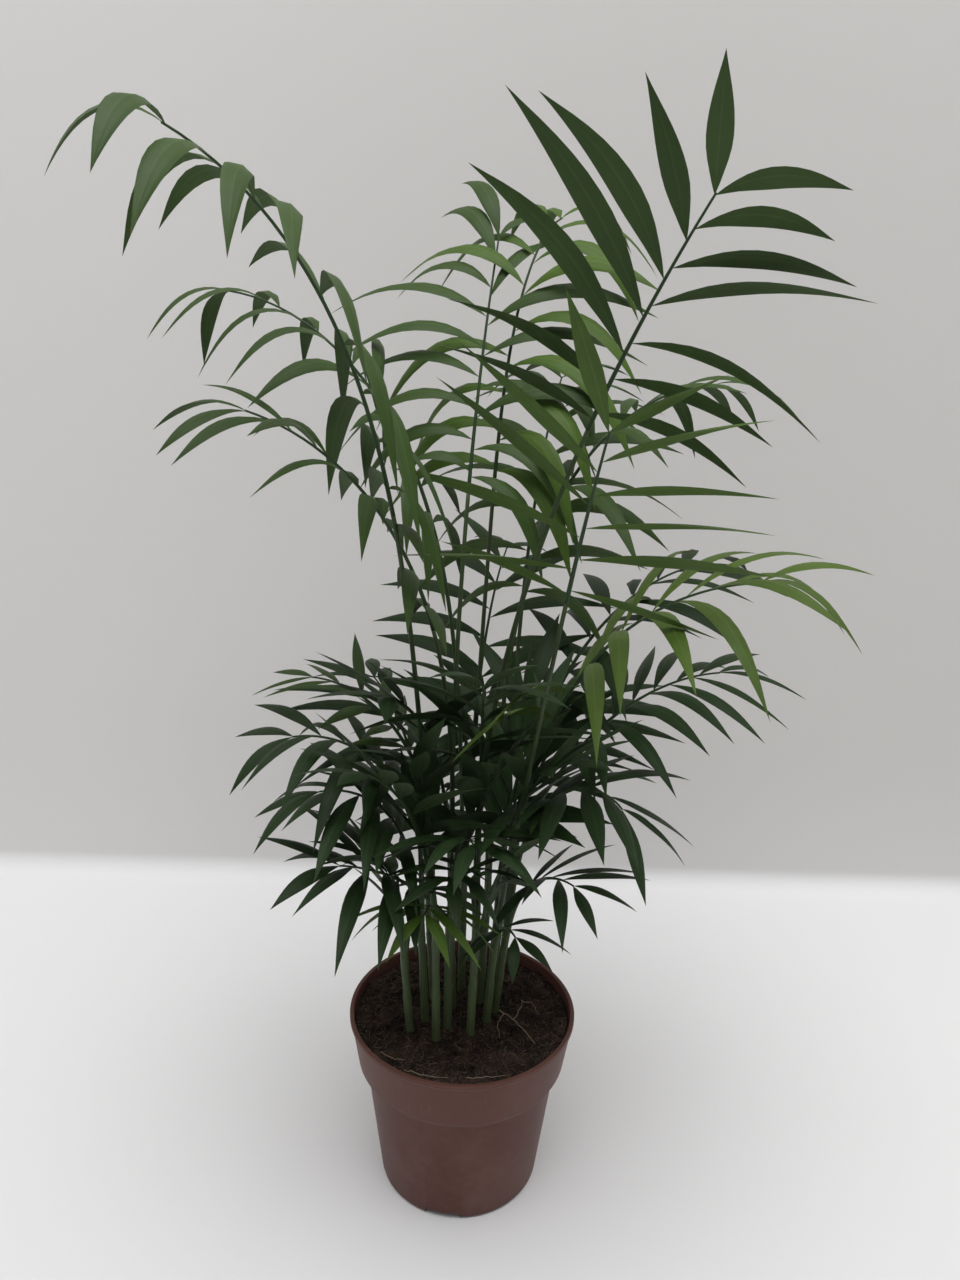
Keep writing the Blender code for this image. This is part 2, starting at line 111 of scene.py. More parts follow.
def turned_pot():
    lip = POT_HEIGHT - LIP_HEIGHT
    shoulder = COLLAR_FOOT_HEIGHT - SHOULDER_HEIGHT
    corners = [
        (RIM_RADIUS, POT_HEIGHT, 0.5 * MM),
        (RIM_RADIUS, lip, 0.4 * MM),
        (COLLAR_TOP_RADIUS, lip - 1 * MM, 0.5 * MM),
        (COLLAR_FOOT_RADIUS, COLLAR_FOOT_HEIGHT, 0.7 * MM),
        (BODY_TOP_RADIUS, shoulder, 2 * MM),
        (FOOT_RADIUS + 0.4 * MM, 0, 3 * MM),
        (0, 0, 0),
        (0, FLOOR, 0),
        (FOOT_RADIUS - WALL, FLOOR, 1.5 * MM),
        (BODY_TOP_RADIUS - WALL, shoulder, 1 * MM),
        (COLLAR_FOOT_RADIUS - WALL, COLLAR_FOOT_HEIGHT, 1 * MM),
        (RIM_RADIUS - RIM_WALL, POT_HEIGHT, 0.5 * MM),
    ]
    outline = filleted(corners)
    outline.append(outline[0])
    mesh = bpy.data.meshes.new("pot_shell")
    edges = [(point, point + 1) for point in range(len(outline) - 1)]
    mesh.from_pydata([(radius, 0, height) for radius, height in outline], edges, [])
    pot = new_object("pot_shell", mesh)
    turn = pot.modifiers.new("Turned", "SCREW")
    turn.steps = POT_STEPS
    turn.render_steps = POT_STEPS
    turn.use_merge_vertices = True
    turn.merge_threshold = 0.01 * MM
    return pot


def notch_cutter(index):
    heading = math.radians(NOTCH_HEADING + 360 / NOTCH_COUNT * index)
    out = FOOT_RADIUS - NOTCH_DEPTH / 2 + 2 * MM
    shape = bmesh.new()
    bmesh.ops.create_cube(shape, size=1)
    bmesh.ops.scale(shape, verts=shape.verts, vec=(NOTCH_DEPTH, NOTCH_WIDTH, 2 * NOTCH_HEIGHT))
    upper = [edge for edge in shape.edges if all(vertex.co.z > 0 for vertex in edge.verts)]
    top_edges = [edge for edge in upper if abs(edge.verts[0].co.x - edge.verts[1].co.x) > 0]
    bmesh.ops.bevel(shape, geom=top_edges, offset=NOTCH_ROUNDING, segments=3, profile=0.5, affect="EDGES")
    turn = Matrix.Rotation(heading, 4, "Z")
    bmesh.ops.transform(shape, matrix=turn @ Matrix.Translation((out, 0, 0)), verts=shape.verts)
    mesh = bpy.data.meshes.new("notch_cutter")
    shape.to_mesh(mesh)
    shape.free()
    return new_object(f"notch_cutter_{index}", mesh)


def cut_notches(pot):
    cutters = [notch_cutter(index) for index in range(NOTCH_COUNT)]
    for cutter in cutters:
        cut = pot.modifiers.new("Notch", "BOOLEAN")
        cut.operation = "DIFFERENCE"
        cut.object = cutter
    settle_mesh(pot)
    for cutter in cutters:
        bpy.data.objects.remove(cutter, do_unlink=True)


def sway_rim(pot):
    """A thin pot is never quite round: its rim is drawn out a little, most at the top."""
    for vertex in pot.data.vertices:
        rise = (vertex.co.z / POT_HEIGHT) ** 2
        heading = math.atan2(vertex.co.y, vertex.co.x)
        waves = RIM_OVAL * math.cos(2 * heading + 0.6) + RIM_WAVE * math.cos(5 * heading)
        swell = 1 + rise * (waves - RIM_DRAW)
        vertex.co.x *= swell
        vertex.co.y *= swell


def new_tree(tree_kind, name, inputs, outputs):
    """A node tree with its inputs, each given as (name, kind, value), and its outputs, as (name, kind)."""
    tree = bpy.data.node_groups.new(name, tree_kind)
    for label, kind, value in inputs:
        socket = tree.interface.new_socket(label, in_out="INPUT", socket_type=f"NodeSocket{kind}")
        if value is not None:
            socket.default_value = value
    for label, kind in outputs:
        tree.interface.new_socket(label, in_out="OUTPUT", socket_type=f"NodeSocket{kind}")
    return tree, tree.nodes.new("NodeGroupInput"), tree.nodes.new("NodeGroupOutput")


def add_node(tree, kind, settings=None, **values):
    """A node with its settings and its inputs' values, by name or as _number. A socket given is linked."""
    made = tree.nodes.new(kind)
    for label, value in (settings or {}).items():
        setattr(made, label, value)
    for label, value in values.items():
        socket = made.inputs[int(label[1:]) if label[1:].isdigit() else label.replace("_", " ")]
        if isinstance(value, bpy.types.NodeSocket):
            tree.links.new(value, socket)
        else:
            socket.default_value = (*value, 1) if socket.type == "RGBA" else value
    return made


def math_node(tree, operation, first, second=0.0, clamp=False):
    settings = {"operation": operation, "use_clamp": clamp}
    return add_node(tree, "ShaderNodeMath", settings, _0=first, _1=second).outputs[0]


def times(tree, first, second):
    return math_node(tree, "MULTIPLY", first, second)


def plus(tree, first, second, clamp=False):
    return math_node(tree, "ADD", first, second, clamp)


def clouds(tree, place, scale, detail=2.0):
    """Soft noise from 0 to 1."""
    return add_node(tree, "ShaderNodeTexNoise", Vector=place, Scale=scale, Detail=detail).outputs[0]


def mix_colour(tree, share, first, second, blend="MIX"):
    settings = {"data_type": "RGBA", "blend_type": blend}
    return add_node(tree, "ShaderNodeMix", settings, _0=share, _6=first, _7=second).outputs[2]


def ramp(tree, value, low, high, low_to=0.0, high_to=1.0):
    """A smooth rise from low_to to high_to as the value goes from low to high."""
    ends = {"From_Min": low, "From_Max": high, "To_Min": low_to, "To_Max": high_to}
    made = add_node(tree, "ShaderNodeMapRange", {"interpolation_type": "SMOOTHSTEP"}, Value=value, **ends)
    return made.outputs["Result"]


def mottle_group():
    """Soft uneven tone at two scales, centred on one, for multiplying a colour."""
    inputs = [("Vector", "Vector", None), ("Scale", "Float", 60.0), ("Strength", "Float", 0.2)]
    outputs = [("Tone", "Float"), ("Mask", "Float")]
    group, given, out = new_tree("ShaderNodeTree", "Mottle", inputs, outputs)
    vector, scale, strength = given.outputs[:3]
    broad = clouds(group, vector, scale, 3.0)
    fine = clouds(group, vector, times(group, scale, 6.0))
    both = plus(group, times(group, broad, 0.7), times(group, fine, 0.3))
    centred = times(group, math_node(group, "SUBTRACT", both, 0.5), times(group, strength, 4.0))
    group.links.new(plus(group, centred, 1.0), out.inputs["Tone"])
    group.links.new(ramp(group, both, 0.42, 0.66), out.inputs["Mask"])
    return group


MOTTLE = mottle_group()


def mottle(tree, vector, scale, strength):
    values = {"Vector": vector, "Scale": scale, "Strength": strength}
    made = add_node(tree, "ShaderNodeGroup", {"node_tree": MOTTLE}, **values)
    return made.outputs["Tone"], made.outputs["Mask"]


def start_material(name, roughness, specular):
    """A new material, its node tree, its shader, and the place on the object for its patterns."""
    material = bpy.data.materials.new(name)
    material.use_nodes = True
    tree = material.node_tree
    shader = tree.nodes["Principled BSDF"]
    shader.inputs["Roughness"].default_value = roughness
    shader.inputs["Specular IOR Level"].default_value = specular
    return material, tree, shader, add_node(tree, "ShaderNodeTexCoord").outputs["Object"]


def toned(tree, colour, tone):
    """The colour multiplied by a grey tone."""
    grey = add_node(tree, "ShaderNodeCombineColor", Red=tone, Green=tone, Blue=tone).outputs[0]
    return mix_colour(tree, 1.0, colour, grey, "MULTIPLY")


def bumped(tree, shader, height, depth, strength):
    made = add_node(tree, "ShaderNodeBump", Height=height, Distance=depth, Strength=strength)
    tree.links.new(made.outputs["Normal"], shader.inputs["Normal"])


def pot_plastic():
    """Dull brown plastic, dusty towards its foot and its shoulder, with pale dried runs below the rim."""
    material, tree, shader, place = start_material("pot_plastic", 0.46, 0.2)
    tone, patches = mottle(tree, place, 28.0, 0.10)
    height = add_node(tree, "ShaderNodeSeparateXYZ", Vector=place).outputs["Z"]
    drawn_out = add_node(tree, "ShaderNodeMapping", Vector=place, Scale=(1, 1, 0.05)).outputs[0]
    runs = clouds(tree, drawn_out, 620.0, 3.0)
    under_rim = times(tree, ramp(tree, height, 0.108, 0.100), ramp(tree, height, 0.062, 0.098))
    runs_mask = times(tree, ramp(tree, runs, 0.58, 0.78, 0, 0.28), under_rim)
    dust_mask = times(tree, patches, ramp(tree, height, 0.085, 0.0, 0.06, 0.16))
    collar = times(tree, ramp(tree, height, COLLAR_FOOT_HEIGHT - 6 * MM, COLLAR_FOOT_HEIGHT), 0.06)
    dust = plus(tree, plus(tree, runs_mask, collar), dust_mask, clamp=True)
    colour = mix_colour(tree, dust, toned(tree, POT_BROWN, tone), POT_DUST)
    tree.links.new(colour, shader.inputs["Base Color"])
    tree.links.new(ramp(tree, dust, 0.0, 0.4, 0.44, 0.7), shader.inputs["Roughness"])
    grain, waves = clouds(tree, place, 900.0), clouds(tree, place, 45.0, 1.0)
    bumped(tree, shader, plus(tree, grain, times(tree, waves, 3.0)), 0.12 * MM, 0.5)
    return material


pot = turned_pot()
cut_notches(pot)
sway_rim(pot)
pot.data.materials.clear()
pot.data.materials.append(pot_plastic())
pot.data.shade_smooth()
pot.data.set_sharp_from_angle(angle=SHARP_ANGLE)
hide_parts("pot")
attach(pot, "root")

# The soil
# It is dark peat compost, crumbly and full of fine fibres, with a few grains of white perlite. It fills the
# pot nearly to the rim, stands a little higher at the front, and lies a little lower at the back.

SOIL_TOP = 105.6 * MM
SOIL_GAP = 0.3 * MM
SOIL_RINGS = 96
SOIL_SPOKES = 280
MOUND = 1.2 * MM
FRONT_RISE = 3.2 * MM
PEAT_DARK = (0.0120, 0.0078, 0.0060)
PEAT_BROWN = (0.0820, 0.0500, 0.0330)
CRUMB_BROWN = (0.0380, 0.0240, 0.0160)
FIBRE_BROWN = (0.1900, 0.1250, 0.0820)
PERLITE_WHITE = (0.5200, 0.5000, 0.4600)
CRUMB_SIZE = (0.35 * MM, 1.5 * MM)
CLOD_SIZE = (1.6 * MM, 4.2 * MM)
FIBRE_SIZE = (2.5 * MM, 7 * MM)
PERLITE_SIZE = (0.3 * MM, 0.75 * MM)
CRUMBS_ON_SQUARE_METRE = 190000
CLODS_ON_SQUARE_METRE = 26000
FIBRES_ON_SQUARE_METRE = 74000
PERLITE_ON_SQUARE_METRE = 2400
SPIN = 6.283


def soil_height(x, y):
    """The soil's surface: clods and crumbs, a low mound round the canes, a rise towards the front rim."""
    radius = math.hypot(x, y)
    clods = noise.noise((x * 70, y * 70, 3.1)) * 1.6 + abs(noise.noise((x * 135, y * 135, 7.7))) * 4.6 - 1.6
    crumbs = abs(noise.noise((x * 390, y * 390, 1.3))) * 1.5 + noise.noise((x * 1000, y * 1000, 5.9)) * 0.5
    edge = max(0, radius / RIM_RADIUS - 0.55) / 0.45
    tilt = -y / RIM_RADIUS * edge * FRONT_RISE
    mound = MOUND * math.exp(-((radius / (0.45 * RIM_RADIUS)) ** 2))
    return SOIL_TOP + (clods + crumbs) * MM * (1 - 0.35 * edge**3) + tilt + mound


def smooth_object(name, vertices, faces):
    mesh = bpy.data.meshes.new(name)
    mesh.from_pydata(vertices, [], faces)
    mesh.shade_smooth()
    return new_object(name, mesh)


def inner_radius(height):
    """The pot's inner face at a height above the shoulder."""
    share = (height - COLLAR_FOOT_HEIGHT) / (POT_HEIGHT - COLLAR_FOOT_HEIGHT)
    return COLLAR_FOOT_RADIUS - WALL + (RIM_RADIUS - RIM_WALL - COLLAR_FOOT_RADIUS + WALL) * share


def soil_body():
    """The soil as a closed shape: its rough top, then its side down to the pot's floor."""
    top_radius = inner_radius(SOIL_TOP) * 0.994 - SOIL_GAP
    shoulder = COLLAR_FOOT_HEIGHT - SHOULDER_HEIGHT
    below = [
        (inner_radius(COLLAR_FOOT_HEIGHT + 3 * MM) - 2 * SOIL_GAP, COLLAR_FOOT_HEIGHT + 3 * MM),
        (BODY_TOP_RADIUS - WALL - 2 * SOIL_GAP, shoulder - 3 * MM),
        (FOOT_RADIUS - WALL - 5 * SOIL_GAP, FLOOR + SOIL_GAP),
    ]
    headings = np.linspace(0, 2 * math.pi, SOIL_SPOKES, endpoint=False)
    vertices = [(0, 0, soil_height(0, 0))]
    for ring in range(1, SOIL_RINGS + 1):
        radius = top_radius * (ring / SOIL_RINGS) ** 0.85
        for heading in headings:
            x, y = radius * math.cos(heading), radius * math.sin(heading)
            vertices.append((x, y, soil_height(x, y)))
    for radius, height in below:
        vertices += [(radius * math.cos(heading), radius * math.sin(heading), height) for heading in headings]
    vertices.append((0, 0, FLOOR + SOIL_GAP))
    faces = [(0, 1 + spoke, 1 + (spoke + 1) % SOIL_SPOKES) for spoke in range(SOIL_SPOKES)]
    rings = SOIL_RINGS + len(below)
    for ring in range(rings - 1):
        near, far = 1 + ring * SOIL_SPOKES, 1 + (ring + 1) * SOIL_SPOKES
        for spoke in range(SOIL_SPOKES):
            after = (spoke + 1) % SOIL_SPOKES
            faces.append((near + spoke, far + spoke, far + after, near + after))
    last, pole = 1 + (rings - 1) * SOIL_SPOKES, len(vertices) - 1
    faces += [(last + (spoke + 1) % SOIL_SPOKES, last + spoke, pole) for spoke in range(SOIL_SPOKES)]
    return smooth_object("soil_body", vertices, faces)


def peat():
    material, tree, shader, place = start_material("peat", 0.95, 0.25)
    tone, patches = mottle(tree, place, 90.0, 0.35)
    specks = clouds(tree, place, 900.0, 3.0)
    brown = plus(tree, times(tree, patches, 0.35), ramp(tree, specks, 0.52, 0.75, 0, 0.6), clamp=True)
    colour = toned(tree, mix_colour(tree, brown, PEAT_DARK, PEAT_BROWN), tone)
    tree.links.new(colour, shader.inputs["Base Color"])
    bumped(tree, shader, specks, 0.9 * MM, 0.9)
    return material


def plain_grain(name, colour, roughness, scale, strength):
    """A rough natural finish with an uneven tone, for crumbs, fibres, perlite and roots."""
    material, tree, shader, place = start_material(name, roughness, 0.25)
    tone, _ = mottle(tree, place, scale, strength)
    tree.links.new(toned(tree, colour, tone), shader.inputs["Base Color"])
    return material


def scatter_tree(name, make_piece):
    """Strews a small piece over a surface: points by density, each piece turned and sized at random."""
    inputs = [
        ("Surface", "Geometry", None), ("Density", "Float", 1000.0), ("Smallest", "Float", 0.5 * MM),
        ("Largest", "Float", 1 * MM), ("Tilt", "Float", 3.1), ("Seed", "Int", 1),
        ("Finish", "Material", None),
    ]
    tree, given, out = new_tree("GeometryNodeTree", name, inputs, [("Pieces", "Geometry")])
    surface, density, smallest, largest, tilt, seed, finish = given.outputs[:7]
    points = add_node(tree, "GeometryNodeDistributePointsOnFaces", Mesh=surface, Density=density, Seed=seed)
    sizes = {"_2": smallest, "_3": largest, "Seed": seed}
    size = add_node(tree, "FunctionNodeRandomValue", {"data_type": "FLOAT"}, **sizes)
    highest = add_node(tree, "ShaderNodeCombineXYZ", X=tilt, Y=tilt, Z=SPIN).outputs[0]
    lowest = add_node(tree, "ShaderNodeVectorMath", {"operation": "SCALE"}, _0=highest, Scale=-1.0).outputs[0]
    turns = {"_0": lowest, "_1": highest, "Seed": seed}
    turn = add_node(tree, "FunctionNodeRandomValue", {"data_type": "FLOAT_VECTOR"}, **turns)
    places = {"Points": points.outputs["Points"], "Rotation": turn.outputs[0], "Scale": size.outputs[1]}
    placed = add_node(tree, "GeometryNodeInstanceOnPoints", Instance=make_piece(tree), **places)
    real = add_node(tree, "GeometryNodeRealizeInstances", Geometry=placed.outputs[0])
    painted = add_node(tree, "GeometryNodeSetMaterial", Geometry=real.outputs[0], Material=finish)
    tree.links.new(painted.outputs[0], out.inputs[0])
    return tree


def crumb(tree):
    """A lump of about one unit across, uneven in its three sizes."""
    ball = add_node(tree, "GeometryNodeMeshIcoSphere", Radius=0.5, Subdivisions=1).outputs[0]
    return add_node(tree, "GeometryNodeTransform", Geometry=ball, Scale=(1.0, 0.75, 0.6)).outputs[0]


def clod(tree):
    """A rounded lump of about one unit across, with a bumpy surface."""
    ball = add_node(tree, "GeometryNodeMeshUVSphere", Radius=0.5, Segments=8, Rings=6).outputs[0]
    bumps = add_node(tree, "ShaderNodeTexNoise", Scale=3.1, Detail=3.0).outputs["Color"]
    centred = add_node(tree, "ShaderNodeVectorMath", {"operation": "SUBTRACT"}, _0=bumps, _1=(0.5, 0.5, 0.5))
    rough = add_node(tree, "GeometryNodeSetPosition", Geometry=ball, Offset=centred.outputs[0]).outputs[0]
    return add_node(tree, "GeometryNodeTransform", Geometry=rough, Scale=(1.0, 0.85, 0.6)).outputs[0]


def fibre(tree):
    """A bent thread of about one unit long."""
    bend = {"Start": (-0.5, 0, 0), "Middle": (0.05, 0.35, 0.12), "End": (0.45, -0.1, 0.1)}
    line = add_node(tree, "GeometryNodeCurveQuadraticBezier", Resolution=5, **bend).outputs[0]
    section = add_node(tree, "GeometryNodeCurvePrimitiveCircle", Resolution=3, Radius=0.014).outputs[0]
    parts = {"Curve": line, "Profile_Curve": section, "Fill_Caps": True}
    return add_node(tree, "GeometryNodeCurveToMesh", **parts).outputs[0]


def strewn(name, surface, tree, finish, **values):
    """Runs the scatter tree on a surface and returns the pieces as one plain mesh object."""
    thing = new_object(name, surface.copy())
    strew = thing.modifiers.new("Strewn", "NODES")
    strew.node_group = tree
    for item in tree.interface.items_tree:
        if item.in_out == "INPUT" and item.name in values:
            strew[item.identifier] = values[item.name]
        if item.name == "Finish":
            strew[item.identifier] = finish
    settle_mesh(thing)
    return thing


def soil_surface(soil):
    """Only the soil's rough top, as a surface to strew on."""
    shape = bmesh.new()
    shape.from_mesh(soil.data)
    low = [face for face in shape.faces if min(vertex.co.z for vertex in face.verts) < SOIL_TOP - 6 * MM]
    bmesh.ops.delete(shape, geom=low, context="FACES")
    mesh = bpy.data.meshes.new("soil_surface")
    shape.to_mesh(mesh)
    shape.free()
    return mesh


soil = soil_body()
soil.data.materials.append(peat())
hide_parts("soil")
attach(soil, "root")

crumb_tree = scatter_tree("Strewn crumbs", crumb)
fibre_tree = scatter_tree("Strewn fibres", fibre)
surface = soil_surface(soil)
crumb_finish = plain_grain("crumb_peat", CRUMB_BROWN, 0.95, 400.0, 0.45)
fibre_finish = plain_grain("peat_fibre", FIBRE_BROWN, 0.8, 300.0, 0.4)
perlite_finish = plain_grain("perlite", PERLITE_WHITE, 0.7, 700.0, 0.2)
soil_crumbs = strewn("soil_crumbs", surface, crumb_tree, crumb_finish, Density=CRUMBS_ON_SQUARE_METRE,
                     Smallest=CRUMB_SIZE[0], Largest=CRUMB_SIZE[1], Seed=4)
soil_clods = strewn("soil_clods", surface, scatter_tree("Strewn clods", clod), soil.data.materials[0],
                    Density=CLODS_ON_SQUARE_METRE, Smallest=CLOD_SIZE[0], Largest=CLOD_SIZE[1],
                    Tilt=0.4, Seed=6)
soil_clods.data.shade_smooth()
soil_fibres = strewn("soil_fibres", surface, fibre_tree, fibre_finish, Density=FIBRES_ON_SQUARE_METRE,
                     Smallest=FIBRE_SIZE[0], Largest=FIBRE_SIZE[1], Tilt=0.5, Seed=9)
perlite = strewn("perlite", surface, crumb_tree, perlite_finish, Density=PERLITE_ON_SQUARE_METRE,
                 Smallest=PERLITE_SIZE[0], Largest=PERLITE_SIZE[1], Seed=12)
for piece in (soil_crumbs, soil_clods, soil_fibres, perlite):
    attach(piece, "root")

# The canes and leaf stalks
# Each seedling is one green cane wrapped in its leaf sheaths, with the stalks of its fronds leaving it one by
# one. They are smooth, faintly ridged along their length, and paler towards the soil, from which they grow.

CANE_FOOT_RADIUS = 2.4 * MM
CANE_TOP_RADIUS = 1.8 * MM
STALK_RADIUS = 1.5 * MM
STALK_END_RADIUS = 1.1 * MM
STALK_SWELL = 0.7 * MM
STALK_SWELL_LENGTH = 14
CANE_BASE = 106.3 * MM
CANE_SINK = 3 * MM
SHEATH_LIP = 0.35 * MM
SHEATH_REACH = 0.3
LOWEST_SHEATH = 0.42
FULL_TURN = 6.2832
CANE_GREEN = (0.038, 0.062, 0.022)
CANE_PALE = (0.085, 0.110, 0.050)
STALK_GREEN = (0.024, 0.050, 0.017)

# Each cane's foot and top in plan and its height above the soil, in mm
Cane = namedtuple("Cane", "foot_x foot_y top_x top_y height")
CANES = {
    "a": Cane(-29, -18, -33, -20, 62),
    "b": Cane(-21, -8, -24, -9, 70),
    "c": Cane(-14, -23, -15, -26, 80),
    "d": Cane(-8, -14, -8, -16, 74),
    "e": Cane(5, -20, 7, -22, 85),
    "f": Cane(14, -9, 18, -12, 70),
    "g": Cane(19, 2, 25, 1, 66),
    "h": Cane(10, 9, 13, 13, 70),
    "i": Cane(-6, 4, -8, 5, 80),
    "j": Cane(-17, 10, -21, 14, 60),
    "k": Cane(-1, 20, -1, 25, 66),
    "l": Cane(17, 20, 22, 25, 60),
}

# How one frond grows. Angles are in degrees and lengths in mm.
# cane and share: the cane that carries it, and how far up that its stalk leaves
# heading and lean: the way it leans, turning from +X towards +Y, and its lean from upright where it leaves
# arch and bend: its lean at the tip, and how late it bends
# roll: the turn of the leaf's flat side about its rib
# length and bare: the whole length of stalk and rib, and the share of it with no leaflets
# pairs, blade and width: the pairs of leaflets, the longest one's length, and its width as a share of that
# spread, lift and droop: leaflets' angle from the rib as a share of the usual, their rise and their fall
# taper: how much shorter the leaflets at the tip are
# tint: the leaf's green, darker in the dark tint as painted shade and lighter in the bright and young tints
# as painted light
FROND_DEFAULTS = dict(
    share=0.95, bend=2.2, roll=0, bare=0.55, width=0.13, spread=1.0, lift=10, droop=40, taper=0.35,
    tint="dark"
)
Frond = namedtuple(
    "Frond",
    "cane heading lean arch length pairs blade share bend roll bare width spread lift droop taper tint",
)


def frond(cane, heading, lean, arch, length, pairs, blade, **others):
    return Frond(cane, heading, lean, arch, length, pairs, blade, **{**FROND_DEFAULTS, **others})


FRONDS = {
    "tall_left": frond(
        "c", 213, 5, 65, 411, 9, 100, bend=3.7, roll=-13, width=0.108, lift=12, droop=100, tint="mid"
    ),
    "tall_right": frond(
        "e", -35, -6, 32, 374, 7, 96, bend=0.75, roll=-55, bare=0.72, width=0.115, spread=0.95, droop=46,
        taper=0.5, tint="mid"
    ),
    "centre_back": frond(
        "k", 60, 5, 74, 397, 9, 97, bend=7, bare=0.6, width=0.108, lift=15, droop=110, tint="bright"
    ),
    "centre_left": frond(
        "i", 78, -4, 34, 366, 9, 99, bend=1.2, bare=0.62, width=0.108, droop=98, tint="mid"
    ),
    "left_mid": frond("d", 188, -1, 72, 315, 8, 84, bend=2.55, share=0.9, width=0.11, droop=65, tint="mid"),
    "left_upper": frond("k", 168, 2, 84, 386, 8, 84, bend=3.1, width=0.11, droop=105, tint="mid"),
    "right_upper": frond("h", 10, 2, 89, 337, 8, 84, bend=3.5, bare=0.6, width=0.1, droop=75, tint="mid"),
    "front_right": frond(
        "f", -66, 16, 22, 294, 6, 86, bend=4, roll=-35, bare=0.72, width=0.12, spread=1.15, droop=18,
        tint="bright"
    ),
    "right_mid": frond(
        "g", -20, 3, 82, 262, 8, 104, bend=2, bare=0.46, width=0.098, spread=0.85, lift=15, droop=72,
        tint="young"
    ),
    "right_low": frond("h", 8, 22, 88, 196, 8, 74, bare=0.5, width=0.12, droop=45),
    "right_fan": frond("g", -30, 7, 137, 132, 6, 78, bend=3.1, width=0.135),
    "right_foot": frond("g", -42, 11, 101, 84, 5, 58, share=0.67, bend=2.3, width=0.14, droop=45),
    "right_inner": frond("l", 22, 6, 88, 252, 8, 78, bare=0.5, width=0.12, droop=50),
    "left_foot": frond("d", 203, 29, 76, 80, 6, 70, bend=1.1, bare=0.4, width=0.135, droop=50),
    "left_low": frond("a", 195, -8, 97, 132, 6, 70, share=0.82, bend=2.3, width=0.135, droop=55),
    "left_fan": frond("b", 185, -2, 99, 150, 6, 70, bend=2, droop=55),
    "left_small": frond("j", 165, -3, 92, 186, 6, 54, share=0.74, bend=2.3, bare=0.6, droop=25, tint="mid"),
    "front_mid": frond("e", 270, 2, 60, 160, 6, 70, bend=3, width=0.145, spread=0.8, droop=50),
    "front_low": frond("d", 285, 4, 80, 100, 6, 60, share=0.9, bend=1.8, bare=0.45, width=0.145, droop=60),
    "front_foot": frond(
        "c", 262, 8, 90, 55, 4, 48, share=0.8, bend=1.6, bare=0.5, width=0.16, droop=70, tint="bright"
    ),
    "side_foot": frond("f", -66, 16, 100, 38, 3, 40, share=0.75, bend=1.6, bare=0.5, width=0.18, droop=60),
    "back_tall": frond("l", 75, 3, 60, 325, 8, 85, bend=2.4, width=0.11, droop=80, tint="mid"),
    "back_mid": frond("k", 78, 4, 75, 235, 7, 78, share=0.8, bend=2, bare=0.5),
    "back_left": frond("j", 125, 3, 75, 150, 7, 68, bend=2, bare=0.5, width=0.14),
    "back_low": frond("l", 50, 10, 90, 160, 7, 70, share=0.8, bend=1.8, bare=0.5, width=0.14),
    "back_foot": frond("k", 110, 14, 95, 110, 6, 62, share=0.7, bend=1.6, bare=0.5, width=0.14),
    "inner_front": frond(
        "i", 236, 4, 60, 160, 7, 68, share=0.85, bend=2.4, bare=0.45, width=0.16, spread=0.7
    ),
    "inner_left": frond("c", 228, 7, 56, 122, 6, 62, share=0.9, bend=2, bare=0.35, width=0.16, spread=0.75),
    "inner_right": frond("f", -35, 0, 58, 126, 6, 62, share=0.9, bend=2, bare=0.4, width=0.16, spread=0.75),
    "inner_back": frond("h", 95, 6, 50, 135, 7, 66, share=0.8, bend=2, bare=0.35, width=0.15, spread=0.75),
    "inner_foot": frond("e", 250, 6, 80, 78, 5, 54, share=0.75, bend=1.8, bare=0.4, width=0.16, droop=60),
    "core_left": frond("b", 266, 8, 34, 128, 7, 64, share=0.8, bend=2, bare=0.3, width=0.16, spread=0.55),
    "core_right": frond("f", 40, 2, 32, 132, 7, 66, share=0.85, bend=2, bare=0.4, width=0.16, spread=0.55),
    "core_top": frond("g", 70, 2, 34, 148, 7, 70, share=0.8, bend=2, bare=0.45, width=0.15, spread=0.65),
    "core_mid": frond("d", 312, 6, 36, 128, 7, 66, share=0.7, bend=2, bare=0.35, width=0.16, spread=0.55),
    "core_low": frond("e", 300, 13, 44, 100, 6, 58, share=0.6, bend=1.8, bare=0.3, width=0.17, spread=0.6),
    "core_foot": frond("a", 245, 3, 50, 88, 6, 54, share=0.75, bend=1.8, bare=0.3, width=0.17, spread=0.65),
}


def cane_point(cane, share):
    plan = np.array((cane.foot_x, cane.foot_y)) * (1 - share) + np.array((cane.top_x, cane.top_y)) * share
    return np.array((plan[0] * MM, plan[1] * MM, CANE_BASE + cane.height * MM * share))


def frond_line(row, spans=60):
    """Shares, points, and the directions along the rib, out to its left and out of its upper face."""
    shares = np.linspace(0, 1, spans + 1)
    lean = np.radians(row.lean + (row.arch - row.lean) * shares**row.bend)
    heading = math.radians(row.heading)
    ahead = np.array((math.cos(heading), math.sin(heading), 0))
    side = np.array((-math.sin(heading), math.cos(heading), 0))
    along = np.sin(lean)[:, None] * ahead + np.cos(lean)[:, None] * np.array((0, 0, 1))
    steps = (along[1:] + along[:-1]) / 2 * row.length * MM / spans
    points = cane_point(CANES[row.cane], row.share) + np.vstack([np.zeros(3), np.cumsum(steps, axis=0)])
    face = np.cross(along, side)
    roll = math.radians(row.roll)
    left = side * math.cos(roll) + face * math.sin(roll)
    upper = face * math.cos(roll) - side * math.sin(roll)
    return shares, points, along, left, upper


def at(line, share):
    """The line's point and directions at a share of its length."""
    shares, *runs = line
    return [np.array([np.interp(share, shares, run[:, axis]) for axis in range(3)]) for run in runs]


